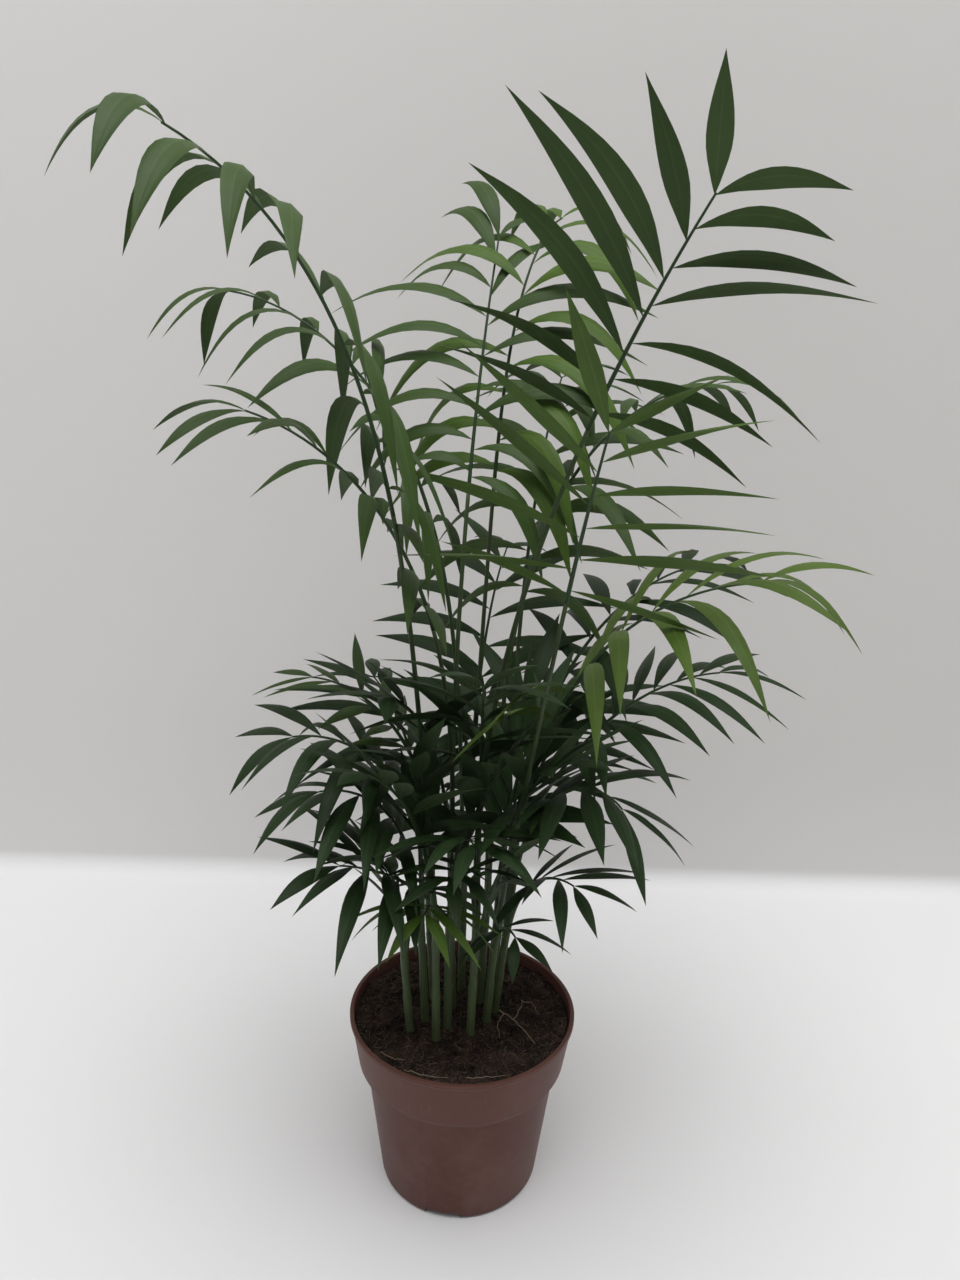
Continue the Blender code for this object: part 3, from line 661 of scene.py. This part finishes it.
def tube(points, radii, sides, groove=0.0):
    """A tapering tube with rounded ends: its points, its faces and each corner's place round and along it."""
    points = np.array(points, float)
    along = np.gradient(points, axis=0)
    along /= np.linalg.norm(along, axis=1)[:, None]
    normal = unit(np.cross(along[0], (0.31, 0.86, 0.21)))
    vertices, faces, corners = [points[0] - along[0] * radii[0] * 0.4], [], []
    length = np.concatenate([[0], np.cumsum(np.linalg.norm(np.diff(points, axis=0), axis=1))])
    turns = np.arange(sides) * 2 * math.pi / sides
    for point, ahead, radius in zip(points, along, radii):
        normal = unit(normal - np.dot(normal, ahead) * ahead)
        across = np.cross(ahead, normal)
        reach = radius * (1 - groove * np.maximum(0, np.cos(turns)) ** 6)
        ring = point + reach[:, None] * (np.cos(turns)[:, None] * normal + np.sin(turns)[:, None] * across)
        vertices += list(ring)
    vertices.append(points[-1] + along[-1] * radii[-1] * 0.4)
    pole = len(vertices) - 1
    last = pole - sides
    for side in range(sides):
        after = (side + 1) % sides
        u, v = side / sides, (side + 1) / sides
        faces.append((0, 1 + after, 1 + side))
        corners += [(u, 0), (v, 0), (u, 0)]
        for ring in range(len(points) - 1):
            near, far = 1 + ring * sides, 1 + (ring + 1) * sides
            faces.append((near + side, near + after, far + after, far + side))
            start, end = length[ring], length[ring + 1]
            corners += [(u, start), (v, start), (v, end), (u, end)]
        faces.append((last + side, last + after, pole))
        corners += [(u, length[-1]), (v, length[-1]), (u, length[-1])]
    return np.array(vertices), faces, corners


def joined(name, shapes):
    """One mesh object from many shapes, with its places on each shape kept as the map called place."""
    vertices, faces, corners, first = [], [], [], 0
    for shape_vertices, shape_faces, shape_corners in shapes:
        vertices.append(shape_vertices)
        faces += [tuple(first + corner for corner in face) for face in shape_faces]
        corners += shape_corners
        first += len(shape_vertices)
    thing = smooth_object(name, np.vstack(vertices).tolist(), faces)
    thing.data.uv_layers.new(name="place").data.foreach_set("uv", np.array(corners, np.float32).ravel())
    return thing


def limb(row, shares, radii, sides, groove=0.0):
    """A stretch of a frond's stalk or rib as a tube."""
    line = frond_line(row)
    return tube([at(line, share)[0] for share in shares], radii, sides, groove)


def sheathed_cane(letter):
    """The cane as rings: it narrows upwards, with a thin lip where each leaf's sheath ends."""
    cane = CANES[letter]
    ends = sorted({row.share for row in FRONDS.values() if row.cane == letter} | {LOWEST_SHEATH})
    shares = np.linspace(0, 1, 41)
    radii = CANE_FOOT_RADIUS + (CANE_TOP_RADIUS - CANE_FOOT_RADIUS) * shares
    swell = np.zeros(len(shares))
    for end in ends:
        below = np.clip(1 - (end - shares) / SHEATH_REACH, 0, 1) * (shares <= end)
        swell = np.maximum(swell, SHEATH_LIP * below**2)
    radii = radii + swell
    foot, rise = cane_point(cane, 0), np.array((0, 0, CANE_SINK))
    points = [foot - rise, *(cane_point(cane, share) for share in shares), cane_point(cane, 1) + rise / 2]
    return tube(points, [radii[0], *radii, radii[-1] * 0.6], 16)


def stalk_shape(row):
    """A leaf stalk from inside its cane to where its leaflets begin, grooved along its upper side."""
    shares = np.linspace(0, row.bare, 30)
    radii = STALK_RADIUS + (STALK_END_RADIUS - STALK_RADIUS) * shares / row.bare
    swell = STALK_SWELL * np.exp(-((shares * row.length / STALK_SWELL_LENGTH) ** 2))
    return limb(row, shares, radii + swell, 10, 0.25)


def ridges_group():
    """Fine ridges along a stem from its place map, with broader pale streaks."""
    inputs = [("Around", "Float", None), ("Along", "Float", None), ("Count", "Float", 30.0)]
    outputs = [("Height", "Float"), ("Streaks", "Float")]
    group, given, out = new_tree("ShaderNodeTree", "Stem ridges", inputs, outputs)
    around, along, count = given.outputs[:3]
    turn = times(group, around, FULL_TURN)
    circle = {"X": math_node(group, "COSINE", turn), "Y": math_node(group, "SINE", turn)}
    place = add_node(group, "ShaderNodeCombineXYZ", Z=times(group, along, 12.0), **circle).outputs[0]
    group.links.new(clouds(group, place, count), out.inputs["Height"])
    group.links.new(ramp(group, clouds(group, place, 2.6), 0.45, 0.68), out.inputs["Streaks"])
    return group


RIDGES = ridges_group()


def place_map(tree):
    """A piece's own map: how far round or across it, and how far along it."""
    place = add_node(tree, "ShaderNodeUVMap", {"uv_map": "place"}).outputs[0]
    return add_node(tree, "ShaderNodeSeparateXYZ", Vector=place).outputs[:2]


def stem_skin(name, colour, pale, pale_from, pale_to):
    """Green stem skin with faint ridges and streaks, paler low down."""
    material, tree, shader, spot = start_material(name, 0.45, 0.25)
    around, along = place_map(tree)
    values = {"Around": around, "Along": along, "Count": 5.0}
    ridges = add_node(tree, "ShaderNodeGroup", {"node_tree": RIDGES}, **values)
    height = add_node(tree, "ShaderNodeSeparateXYZ", Vector=spot).outputs["Z"]
    tone, _ = mottle(tree, spot, 40.0, 0.16)
    low = ramp(tree, height, pale_to, pale_from, 0.0, 0.7)
    share = plus(tree, low, times(tree, ridges.outputs["Streaks"], 0.3), clamp=True)
    tree.links.new(toned(tree, mix_colour(tree, share, colour, pale), tone), shader.inputs["Base Color"])
    bumped(tree, shader, ridges.outputs["Height"], 0.25 * MM, 0.5)
    return material


cane_skin = stem_skin("cane_skin", CANE_GREEN, CANE_PALE, 0.106, 0.165)
for letter in CANES:
    stalks = [stalk_shape(row) for row in FRONDS.values() if row.cane == letter]
    cane = joined(f"cane_{letter}", [sheathed_cane(letter), *stalks])
    cane.data.materials.append(cane_skin)
    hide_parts(f"stem_{letter}")
    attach(cane, "root")

# The loose roots
# They are a few fine pale plant roots, a little wavy and tapering to their ends.
# They lie bare on top of the compost, with nothing to hold them.

ROOT_PALE = (0.2600, 0.2000, 0.1400)
ROOT_WAVE = 0.5
ROOT_STEPS = 12
SCATTER_STEPS = (12.9898, 78.233, 37.719, 4.581)

# Each root's points and its radius, in mm
ROOTLETS = [
    (((21, -1, 108.5), (27, -7, 109.5), (33, -14, 109), (41, -27, 108)), 0.45),
    (((30, -10, 109), (34, 0, 110), (35, 7, 109)), 0.3),
    (((34, 7, 109.5), (41, 5, 109.5), (44, -2, 108.5)), 0.28),
    (((24, -5, 109), (20, -14, 109), (22, -24, 108)), 0.28),
    (((-30, -52, 109), (-18, -58, 111.5), (-6, -59, 110.5)), 0.25),
    (((4, -58, 110), (14, -59, 112), (25, -55, 110)), 0.25),
    (((-44, -38, 109), (-36, -46, 111), (-30, -44, 109)), 0.22),
]


def scatter(*keys):
    """A fixed number from -1 to 1 for a set of whole numbers, which looks random."""
    mixed = math.sin(sum(key * step for key, step in zip(keys, SCATTER_STEPS)) + 0.5)
    wide = mixed * 43758.5453
    return 2 * (wide - math.floor(wide)) - 1


rootlets = []
for number, (points, radius) in enumerate(ROOTLETS):
    wave = ROOT_WAVE * MM
    bends = [[scatter(number, step, axis) * wave for axis in range(3)] for step in range(ROOT_STEPS)]
    shares = np.linspace(0, 1, ROOT_STEPS)
    knots = np.linspace(0, 1, len(points))
    line = [np.interp(shares, knots, [point[axis] * MM for point in points]) for axis in range(3)]
    radii = np.linspace(radius, 0.4 * radius, ROOT_STEPS) * MM
    rootlets.append(tube(np.array(line).T + np.array(bends), radii, 6))
loose_roots = joined("loose_roots", rootlets)
loose_roots.data.materials.append(plain_grain("root_skin", ROOT_PALE, 0.8, 300.0, 0.3))
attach(loose_roots, "root")

# The fronds
# Each is a thin round rib with leaflets along both sides, growing on from its stalk. A leaflet is a narrow
# blade with lengthwise veins, folded a little along its middle, that arches out and hangs towards its tip.

RIB_TIP_RADIUS = 0.5 * MM
FOOT_ANGLE = 70
TIP_ANGLE = 32
ANGLE_SPREAD = 9
LIFT_SPREAD = 12
SIZE_SPREAD = 0.09
DROOP_SPREAD = 0.3
STAGGER = 0.18
FIRST_PAIR = 0.05
LAST_PAIR = 0.99
FOOT_SHORTENING = 0.18
DROOP_RATE = 3.2
SKYWARD = 0.8
ROOT_SHARE = 0.13
WIDEST = 0.42
TWIST = 28
LEAF_THICKNESS = 0.35 * MM
DRY_TIP = (0.110, 0.078, 0.030)
LEAF_FOLD = 0.12
LEAF_ARCH = 0.10
PLEAT = 0.10 * MM
LEAF_ROWS = 12
LEAF_COLUMNS = 2
LEAF_EDGE_ANGLE = math.radians(60)
SEE_THROUGH = 0.22
LEAF_GLOW = (2.4, 2.3, 1.2)
THREE_TURNS = 18.85

# Room between leaflets: the clearance, then the turns in degrees and the cuts tried where one would touch
CLEARANCE = 0.4 * MM
ROOM_STEPS = 24
TURNS = (0, 7, -7, 14, -14, 22, -22)
CUTS = (1.0, 0.85, 0.7, 0.55)
TEST_SHARES = (0.14, 0.42, 0.74)

# Upper and under side greens of each tint
GREENS = {
    # Painted shade: the dark tint of the low and inner fronds inside the canopy.
    "dark": ((0.027, 0.053, 0.018), (0.040, 0.066, 0.026)),
    "mid": ((0.047, 0.087, 0.020), (0.058, 0.098, 0.032)),
    # Painted light: the bright tint, light shining through these leaflets.
    "bright": ((0.074, 0.132, 0.022), (0.084, 0.140, 0.036)),
    # The young tint is a paler, yellower green: painted light shining through these leaflets.
    "young": ((0.088, 0.146, 0.026), (0.095, 0.150, 0.038)),
}

Leaflet = namedtuple("Leaflet", "root along left upper angle lift length width droop twist")


def leaflet_rows(row, number):
    """Every leaflet of a frond, from the lowest pair to the tip, left side first."""
    line = frond_line(row)
    for pair in range(row.pairs):
        height = pair / (row.pairs - 1)
        for side in (1, -1):
            stagger = 0 if pair == row.pairs - 1 else STAGGER * side / row.pairs
            place = FIRST_PAIR + (LAST_PAIR - FIRST_PAIR) * min(max(height + stagger, 0), 1)
            root, along, left, upper = at(line, row.bare + (1 - row.bare) * place)
            jitter = [scatter(number, pair, side, key) for key in (1, 2, 3, 4, 5)]
            near_tip = max(0, (height - 0.45) / 0.55)
            near_foot = max(0, (0.35 - height) / 0.35)
            size = 1 - row.taper * near_tip**1.5 - FOOT_SHORTENING * near_foot**1.2
            size *= 1 + SIZE_SPREAD * jitter[2]
            angle = (FOOT_ANGLE + (TIP_ANGLE - FOOT_ANGLE) * height**1.3) * row.spread
            yield Leaflet(
                root,
                unit(along),
                unit(left) * side,
                unit(upper),
                math.radians(angle + ANGLE_SPREAD * jitter[0]),
                math.radians(row.lift + LIFT_SPREAD * jitter[1]),
                row.blade * MM * size,
                row.blade * MM * row.width * (0.85 + 0.15 * size),
                math.radians(row.droop * (1 + DROOP_SPREAD * jitter[3])),
                math.radians(TWIST * jitter[4]),
            )


def leaflet_line(leaflet, steps):
    """Points down the middle of the leaflet, with the directions across it and out of its upper face."""
    ahead = math.cos(leaflet.angle) * leaflet.along + math.sin(leaflet.angle) * leaflet.left
    ahead = unit(math.cos(leaflet.lift) * ahead + math.sin(leaflet.lift) * leaflet.upper)
    upward = leaflet.upper + np.array((0, 0, SKYWARD))
    face = unit(upward - np.dot(upward, ahead) * ahead)
    point = leaflet.root
    rows = [(point, np.cross(face, ahead), face)]
    for step in range(steps):
        share = (step + 0.5) / steps
        fall = ahead * ahead[2] - np.array((0, 0, 1))
        ahead = unit(ahead + fall * leaflet.droop * DROOP_RATE * share**0.5 * (1 - share) ** 0.8 / steps)
        point = point + ahead * leaflet.length / steps
        face = unit(face - np.dot(face, ahead) * ahead - fall * SKYWARD / steps)
        face = unit(face - np.dot(face, ahead) * ahead)
        rows.append((point, np.cross(face, ahead), face))
    return rows


def half_width(leaflet, share):
    if share < WIDEST:
        rise = math.sin(math.pi / 2 * share / WIDEST) ** 1.4
        return leaflet.width / 2 * (ROOT_SHARE + (1 - ROOT_SHARE) * rise)
    return leaflet.width / 2 * math.cos(math.pi / 2 * (share - WIDEST) / (1 - WIDEST)) ** 1.15


def room_of(vertices, faces):
    """A form that others can be tested against for touching it."""
    return BVHTree.FromPolygons([tuple(vertex) for vertex in vertices], faces)


def leaflet_room(leaflet):
    """The space that a leaflet takes, as a three-cornered form with the clearance round it."""
    rows = leaflet_line(leaflet, ROOM_STEPS)
    vertices = [rows[1][0]]
    for share in TEST_SHARES:
        point, across, face = rows[round(share * ROOM_STEPS)]
        half = half_width(leaflet, share) + CLEARANCE
        raised = point + face * CLEARANCE
        lowered = point - face * (CLEARANCE + half * 0.3)
        vertices += [raised - across * half, raised + across * half, lowered]
    vertices.append(rows[-1][0])
    faces = [(1 + corner, 1 + (corner + 1) % 3, 0) for corner in range(3)]
    for section in range(len(TEST_SHARES) - 1):
        near, far = 3 * section + 1, 3 * section + 4
        for corner in range(3):
            after = (corner + 1) % 3
            faces.append((near + after, near + corner, far + corner))
            faces.append((near + after, far + corner, far + after))
    last, tip = len(vertices) - 4, len(vertices) - 1
    faces += [(last + (corner + 1) % 3, last + corner, tip) for corner in range(3)]
    return room_of(vertices, faces)


def fit_leaflet(leaflet, taken):
    """The leaflet as it grows, or turned or cut short as far as it takes to clear its neighbours."""
    for cut in CUTS:
        for turn in TURNS:
            angle = leaflet.angle + math.radians(turn)
            length, width = leaflet.length * cut, leaflet.width * cut**0.5
            tried = leaflet._replace(angle=angle, length=length, width=width)
            room = leaflet_room(tried)
            if not any(room.overlap(other) for other in taken):
                return tried, room
    return None, None


def leaf_pattern():
    """Faces of one leaflet and each corner's place across and along it. The under side's faces come last."""
    faces, corners = [], []
    per_row = 2 * LEAF_COLUMNS

    def point(column, row, under):
        if row in (0, LEAF_ROWS):
            return 0 if row == 0 else 1 + (LEAF_ROWS - 1) * per_row
        inside = LEAF_COLUMNS if under and 0 < column < LEAF_COLUMNS else 0
        return 1 + (row - 1) * per_row + column + inside

    for under in (False, True):
        for column in range(LEAF_COLUMNS):
            for row in range(LEAF_ROWS):
                cell = [(column, row), (column + 1, row), (column + 1, row + 1), (column, row + 1)]
                if under:
                    cell = [cell[1], cell[0], cell[3], cell[2]]
                cell = [spot for spot in cell if spot[0] == column or 0 < spot[1] < LEAF_ROWS]
                faces.append(tuple(point(across, along, under) for across, along in cell))
                corners += [(across / LEAF_COLUMNS, along / LEAF_ROWS) for across, along in cell]
    return faces, corners


LEAF_FACES, LEAF_CORNERS = leaf_pattern()


def leaflet_blade(leaflet):
    """The blade's points, row by row: its upper side across, then its under side inside the edges."""
    rows = leaflet_line(leaflet, LEAF_ROWS)
    spots = np.linspace(-1, 1, LEAF_COLUMNS + 1)[:, None]
    vertices = [rows[0][0][None, :]]
    for row in range(1, LEAF_ROWS):
        point, across, face = rows[row]
        share = row / LEAF_ROWS
        cosine, sine = math.cos(leaflet.twist * share), math.sin(leaflet.twist * share)
        across, face = across * cosine + face * sine, face * cosine - across * sine
        half = half_width(leaflet, share)
        sag = half * (LEAF_FOLD * np.abs(spots) + LEAF_ARCH * spots**2)
        pleat = PLEAT * np.cos(3 * math.pi * spots) * math.sin(math.pi * share)
        middle = point + across * half * spots + face * (pleat - sag)
        thick = face * LEAF_THICKNESS / 2 * (1 - spots**2)
        vertices += [middle + thick, (middle - thick)[1:-1]]
    vertices.append(rows[-1][0][None, :])
    return np.vstack(vertices)


def rib_shape(row):
    shares = np.linspace(row.bare, 1, 26)
    return limb(row, shares, np.linspace(STALK_END_RADIUS, RIB_TIP_RADIUS, len(shares)), 8)


def rib_room(row):
    vertices, faces, _ = limb(row, np.linspace(row.bare, 1, 9), [1 * MM] * 9, 5)
    return room_of(vertices, faces)


def node_room(node):
    mesh = node.data
    return room_of([vertex.co for vertex in mesh.vertices], [tuple(face.vertices) for face in mesh.polygons])


def veins_group():
    """A leaflet's lengthwise veins from its place map: ridges, and a paler line down the middle."""
    inputs = [("Across", "Float", None), ("Along", "Float", None), ("Count", "Float", 18.0)]
    outputs = [("Height", "Float"), ("Middle", "Float")]
    group, given, out = new_tree("ShaderNodeTree", "Leaf veins", inputs, outputs)
    across, along, count = given.outputs[:3]
    turn = times(group, times(group, across, count), FULL_TURN)
    fine = plus(group, times(group, math_node(group, "COSINE", turn), 0.5), 0.5)
    thirds = math_node(group, "COSINE", times(group, across, THREE_TURNS))
    height = plus(group, times(group, fine, 0.35), times(group, thirds, 0.5))
    off_middle = math_node(group, "ABSOLUTE", math_node(group, "SUBTRACT", across, 0.5))
    middle = times(group, ramp(group, off_middle, 0.07, 0.0), ramp(group, along, 1.0, 0.6))
    group.links.new(height, out.inputs["Height"])
    group.links.new(middle, out.inputs["Middle"])
    return group


VEINS = veins_group()


def show_blend(tree, share, first, second):
    """Puts a mix of two shaders on the surface."""
    blend = add_node(tree, "ShaderNodeMixShader", _0=share, _1=first.outputs[0], _2=second.outputs[0])
    tree.links.new(blend.outputs[0], tree.nodes["Material Output"].inputs["Surface"])


def leaf_skin(name, colour, roughness):
    """Satin leaf skin: veined, uneven in tone from leaflet to leaflet, letting a little light through."""
    material, tree, shader, spot = start_material(name, roughness, 0.22)
    across, along = place_map(tree)
    veins = add_node(tree, "ShaderNodeGroup", {"node_tree": VEINS}, Across=across, Along=along)
    own_tone = add_node(tree, "ShaderNodeAttribute", {"attribute_name": "tone"}).outputs["Fac"]
    tone, _ = mottle(tree, spot, 22.0, 0.18)
    both = times(tree, tone, plus(tree, times(tree, own_tone, 0.22), 1.0))
    paler = tuple(min(1, part * 1.5 + 0.01) for part in colour)
    veined = mix_colour(tree, times(tree, veins.outputs["Middle"], 0.35), colour, paler)
    dry = times(tree, ramp(tree, along, 0.95, 0.99), ramp(tree, own_tone, -0.1, 0.3))
    skin = mix_colour(tree, dry, toned(tree, veined, both), DRY_TIP)
    tree.links.new(skin, shader.inputs["Base Color"])
    bumped(tree, shader, veins.outputs["Height"], 0.12 * MM, 0.6)
    lit_through = mix_colour(tree, 1.0, skin, LEAF_GLOW, "MULTIPLY")
    show_blend(tree, SEE_THROUGH, shader, add_node(tree, "ShaderNodeBsdfTranslucent", Color=lit_through))
    return material


def leaf_object(name, blades, tones, upper, under):
    """All the leaflets of one tint as one mesh, with each leaflet's own tone kept on its points."""
    points = len(blades[0])
    firsts = range(0, points * len(blades), points)
    faces = [tuple(first + corner for corner in face) for first in firsts for face in LEAF_FACES]
    thing = smooth_object(name, np.vstack(blades).tolist(), faces)
    mesh = thing.data
    corners = np.tile(np.array(LEAF_CORNERS, np.float32), (len(blades), 1))
    mesh.uv_layers.new(name="place").data.foreach_set("uv", corners.ravel())
    own_tones = np.repeat(np.array(tones, np.float32), points)
    mesh.attributes.new("tone", "FLOAT", "POINT").data.foreach_set("value", own_tones)
    mesh.materials.append(upper)
    mesh.materials.append(under)
    slots = np.tile(np.repeat((0, 1), len(LEAF_FACES) // 2), len(blades)).astype(np.int32)
    mesh.polygons.foreach_set("material_index", slots)
    mesh.set_sharp_from_angle(angle=LEAF_EDGE_ANGLE)
    return thing


rib_skin = stem_skin("rib_skin", STALK_GREEN, CANE_GREEN, 0.15, 0.40)
ribs = joined("ribs", [rib_shape(row) for row in FRONDS.values()])
ribs.data.materials.append(rib_skin)
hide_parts(*(f"frond_{name}" for name in FRONDS))
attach(ribs, "root")

stem_rooms = [node_room(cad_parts[f"stem_{letter}"]) for letter in CANES]
rib_rooms = {name: rib_room(row) for name, row in FRONDS.items()}
blades = {tint: [] for tint in GREENS}
tones = {tint: [] for tint in GREENS}
leaf_rooms = []
for number, (name, row) in enumerate(FRONDS.items()):
    limbs = stem_rooms + [room for other, room in rib_rooms.items() if other != name]
    for index, leaflet in enumerate(leaflet_rows(row, number)):
        fitted, room = fit_leaflet(leaflet, limbs + leaf_rooms)
        if fitted is not None:
            leaf_rooms.append(room)
            blades[row.tint].append(leaflet_blade(fitted))
            tones[row.tint].append(0.6 * scatter(number, 11) + 0.4 * scatter(number, index, 17))
# Each tint's skins are copies of one leaf skin: the dark ones carry painted shade, the bright and young ones
# painted light.
for tint, (upper_green, under_green) in GREENS.items():
    upper = leaf_skin(f"leaf_{tint}_upper", upper_green, 0.45)
    under = leaf_skin(f"leaf_{tint}_under", under_green, 0.55)
    leaflets = leaf_object(f"leaflets_{tint}", blades[tint], tones[tint], upper, under)
    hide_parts(*(f"frond_{name}" for name, row in FRONDS.items() if row.tint == tint))
    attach(leaflets, "root")

# The studio
# A pale sheet lies under the pot and sweeps up behind it. One broad soft light hangs above it, the room's own
# light fills in, and the camera stands half a metre in front and half a metre up, tilted down.

SHEET_FRONT = -2.4
SHEET_BEND = 0.30
BEND_RADIUS = 0.016
BEND_STEPS = 16
SHEET_TOP = 2.4
SHEET_HALF_WIDTH = 2.4
FLOOR_PALE = (0.80, 0.795, 0.795)
# The wall's colour darkens from its left to its right: painted shade.
WALL_LEFT = (0.74, 0.725, 0.705)
WALL_SHADED_RIGHT = (0.66, 0.642, 0.622)
# Up to this height the wall keeps some of the floor's paleness: painted light thrown up from the floor.
FLOOR_GLOW_HEIGHT = 0.15
ROOM_LIGHT = (0.95, 0.97, 1.0)
ROOM_STRENGTH = 0.33
LIGHT_PLACE = (0.08, -0.25, 2.2)
LIGHT_SIZE = 2.2
LIGHT_POWER = 50
CAMERA_PLACE = (0.0047, -0.5007, 0.5062)
CAMERA_TILT = math.radians(18.88)
CAMERA_ROLL = 0.0266
SENSOR_WIDTH = 36
FOCAL_PIXELS = 1036
PICTURE_HEIGHT = 1280


def studio_sheet():
    outline = [(SHEET_FRONT, 0.0), (-0.5, 0.0), (0.0, 0.0)]
    for step in range(BEND_STEPS + 1):
        turn = math.pi / 2 * step / BEND_STEPS
        outline.append((SHEET_BEND + BEND_RADIUS * math.sin(turn), BEND_RADIUS * (1 - math.cos(turn))))
    outline.append((SHEET_BEND + BEND_RADIUS, SHEET_TOP))
    vertices = [(x, y, z) for y, z in outline for x in (-SHEET_HALF_WIDTH, SHEET_HALF_WIDTH)]
    faces = [(2 * row, 2 * row + 1, 2 * row + 3, 2 * row + 2) for row in range(len(outline) - 1)]
    return smooth_object("studio_sheet", vertices, faces)


def sheet_finish():
    """Pale and dull, with painted shade and painted light on its wall, and clear from behind, so that the
    plant can be seen from there.
    """
    material, tree, shader, place = start_material("studio_sheet", 0.9, 0.2)
    across, _, height = add_node(tree, "ShaderNodeSeparateXYZ", Vector=place).outputs
    # Painted shade: the wall darker towards its right side.
    wall = mix_colour(tree, ramp(tree, across, -0.4, 0.2), WALL_LEFT, WALL_SHADED_RIGHT)
    foot = times(tree, ramp(tree, height, 0.002, 0.02), 0.7)
    # Painted light from the floor: a share of the floor's paleness kept on the wall's foot.
    share = plus(tree, foot, times(tree, ramp(tree, height, 0.0, FLOOR_GLOW_HEIGHT), 0.3))
    tree.links.new(mix_colour(tree, share, FLOOR_PALE, wall), shader.inputs["Base Color"])
    behind = add_node(tree, "ShaderNodeNewGeometry").outputs["Backfacing"]
    show_blend(tree, behind, shader, add_node(tree, "ShaderNodeBsdfTransparent"))
    return material


def look_along(way, roll=0.0):
    """A turn that looks along a direction, its right side rolled up by an angle."""
    ahead = unit(np.array(way, float))
    right = unit(np.cross(ahead, (0, 0, 1)))
    up = np.cross(right, ahead)
    rolled_right = right * math.cos(roll) + up * math.sin(roll)
    rolled_up = up * math.cos(roll) - right * math.sin(roll)
    return Matrix((rolled_right, rolled_up, -ahead)).transposed()


sheet = studio_sheet()
sheet.data.materials.append(sheet_finish())

lamp = bpy.data.lights.new("soft_light", "AREA")
lamp.shape = "DISK"
lamp.size = LIGHT_SIZE
lamp.energy = LIGHT_POWER
light = new_object("soft_light", lamp)
light.matrix_world = Matrix.Translation(LIGHT_PLACE) @ look_along(-np.array(LIGHT_PLACE)).to_4x4()

world = bpy.data.worlds.new("room")
world.use_nodes = True
background = world.node_tree.nodes["Background"]
background.inputs["Color"].default_value = (*ROOM_LIGHT, 1)
background.inputs["Strength"].default_value = ROOM_STRENGTH
bpy.context.scene.world = world
bpy.context.scene.view_settings.view_transform = "Standard"

lens = bpy.data.cameras.new("camera")
lens.sensor_width = SENSOR_WIDTH
lens.lens = FOCAL_PIXELS * SENSOR_WIDTH / PICTURE_HEIGHT
lens.clip_start = 0.01
camera = new_object("camera", lens)
view = (0, math.cos(CAMERA_TILT), -math.sin(CAMERA_TILT))
camera.matrix_world = Matrix.Translation(CAMERA_PLACE) @ look_along(view, CAMERA_ROLL).to_4x4()
bpy.context.scene.camera = camera
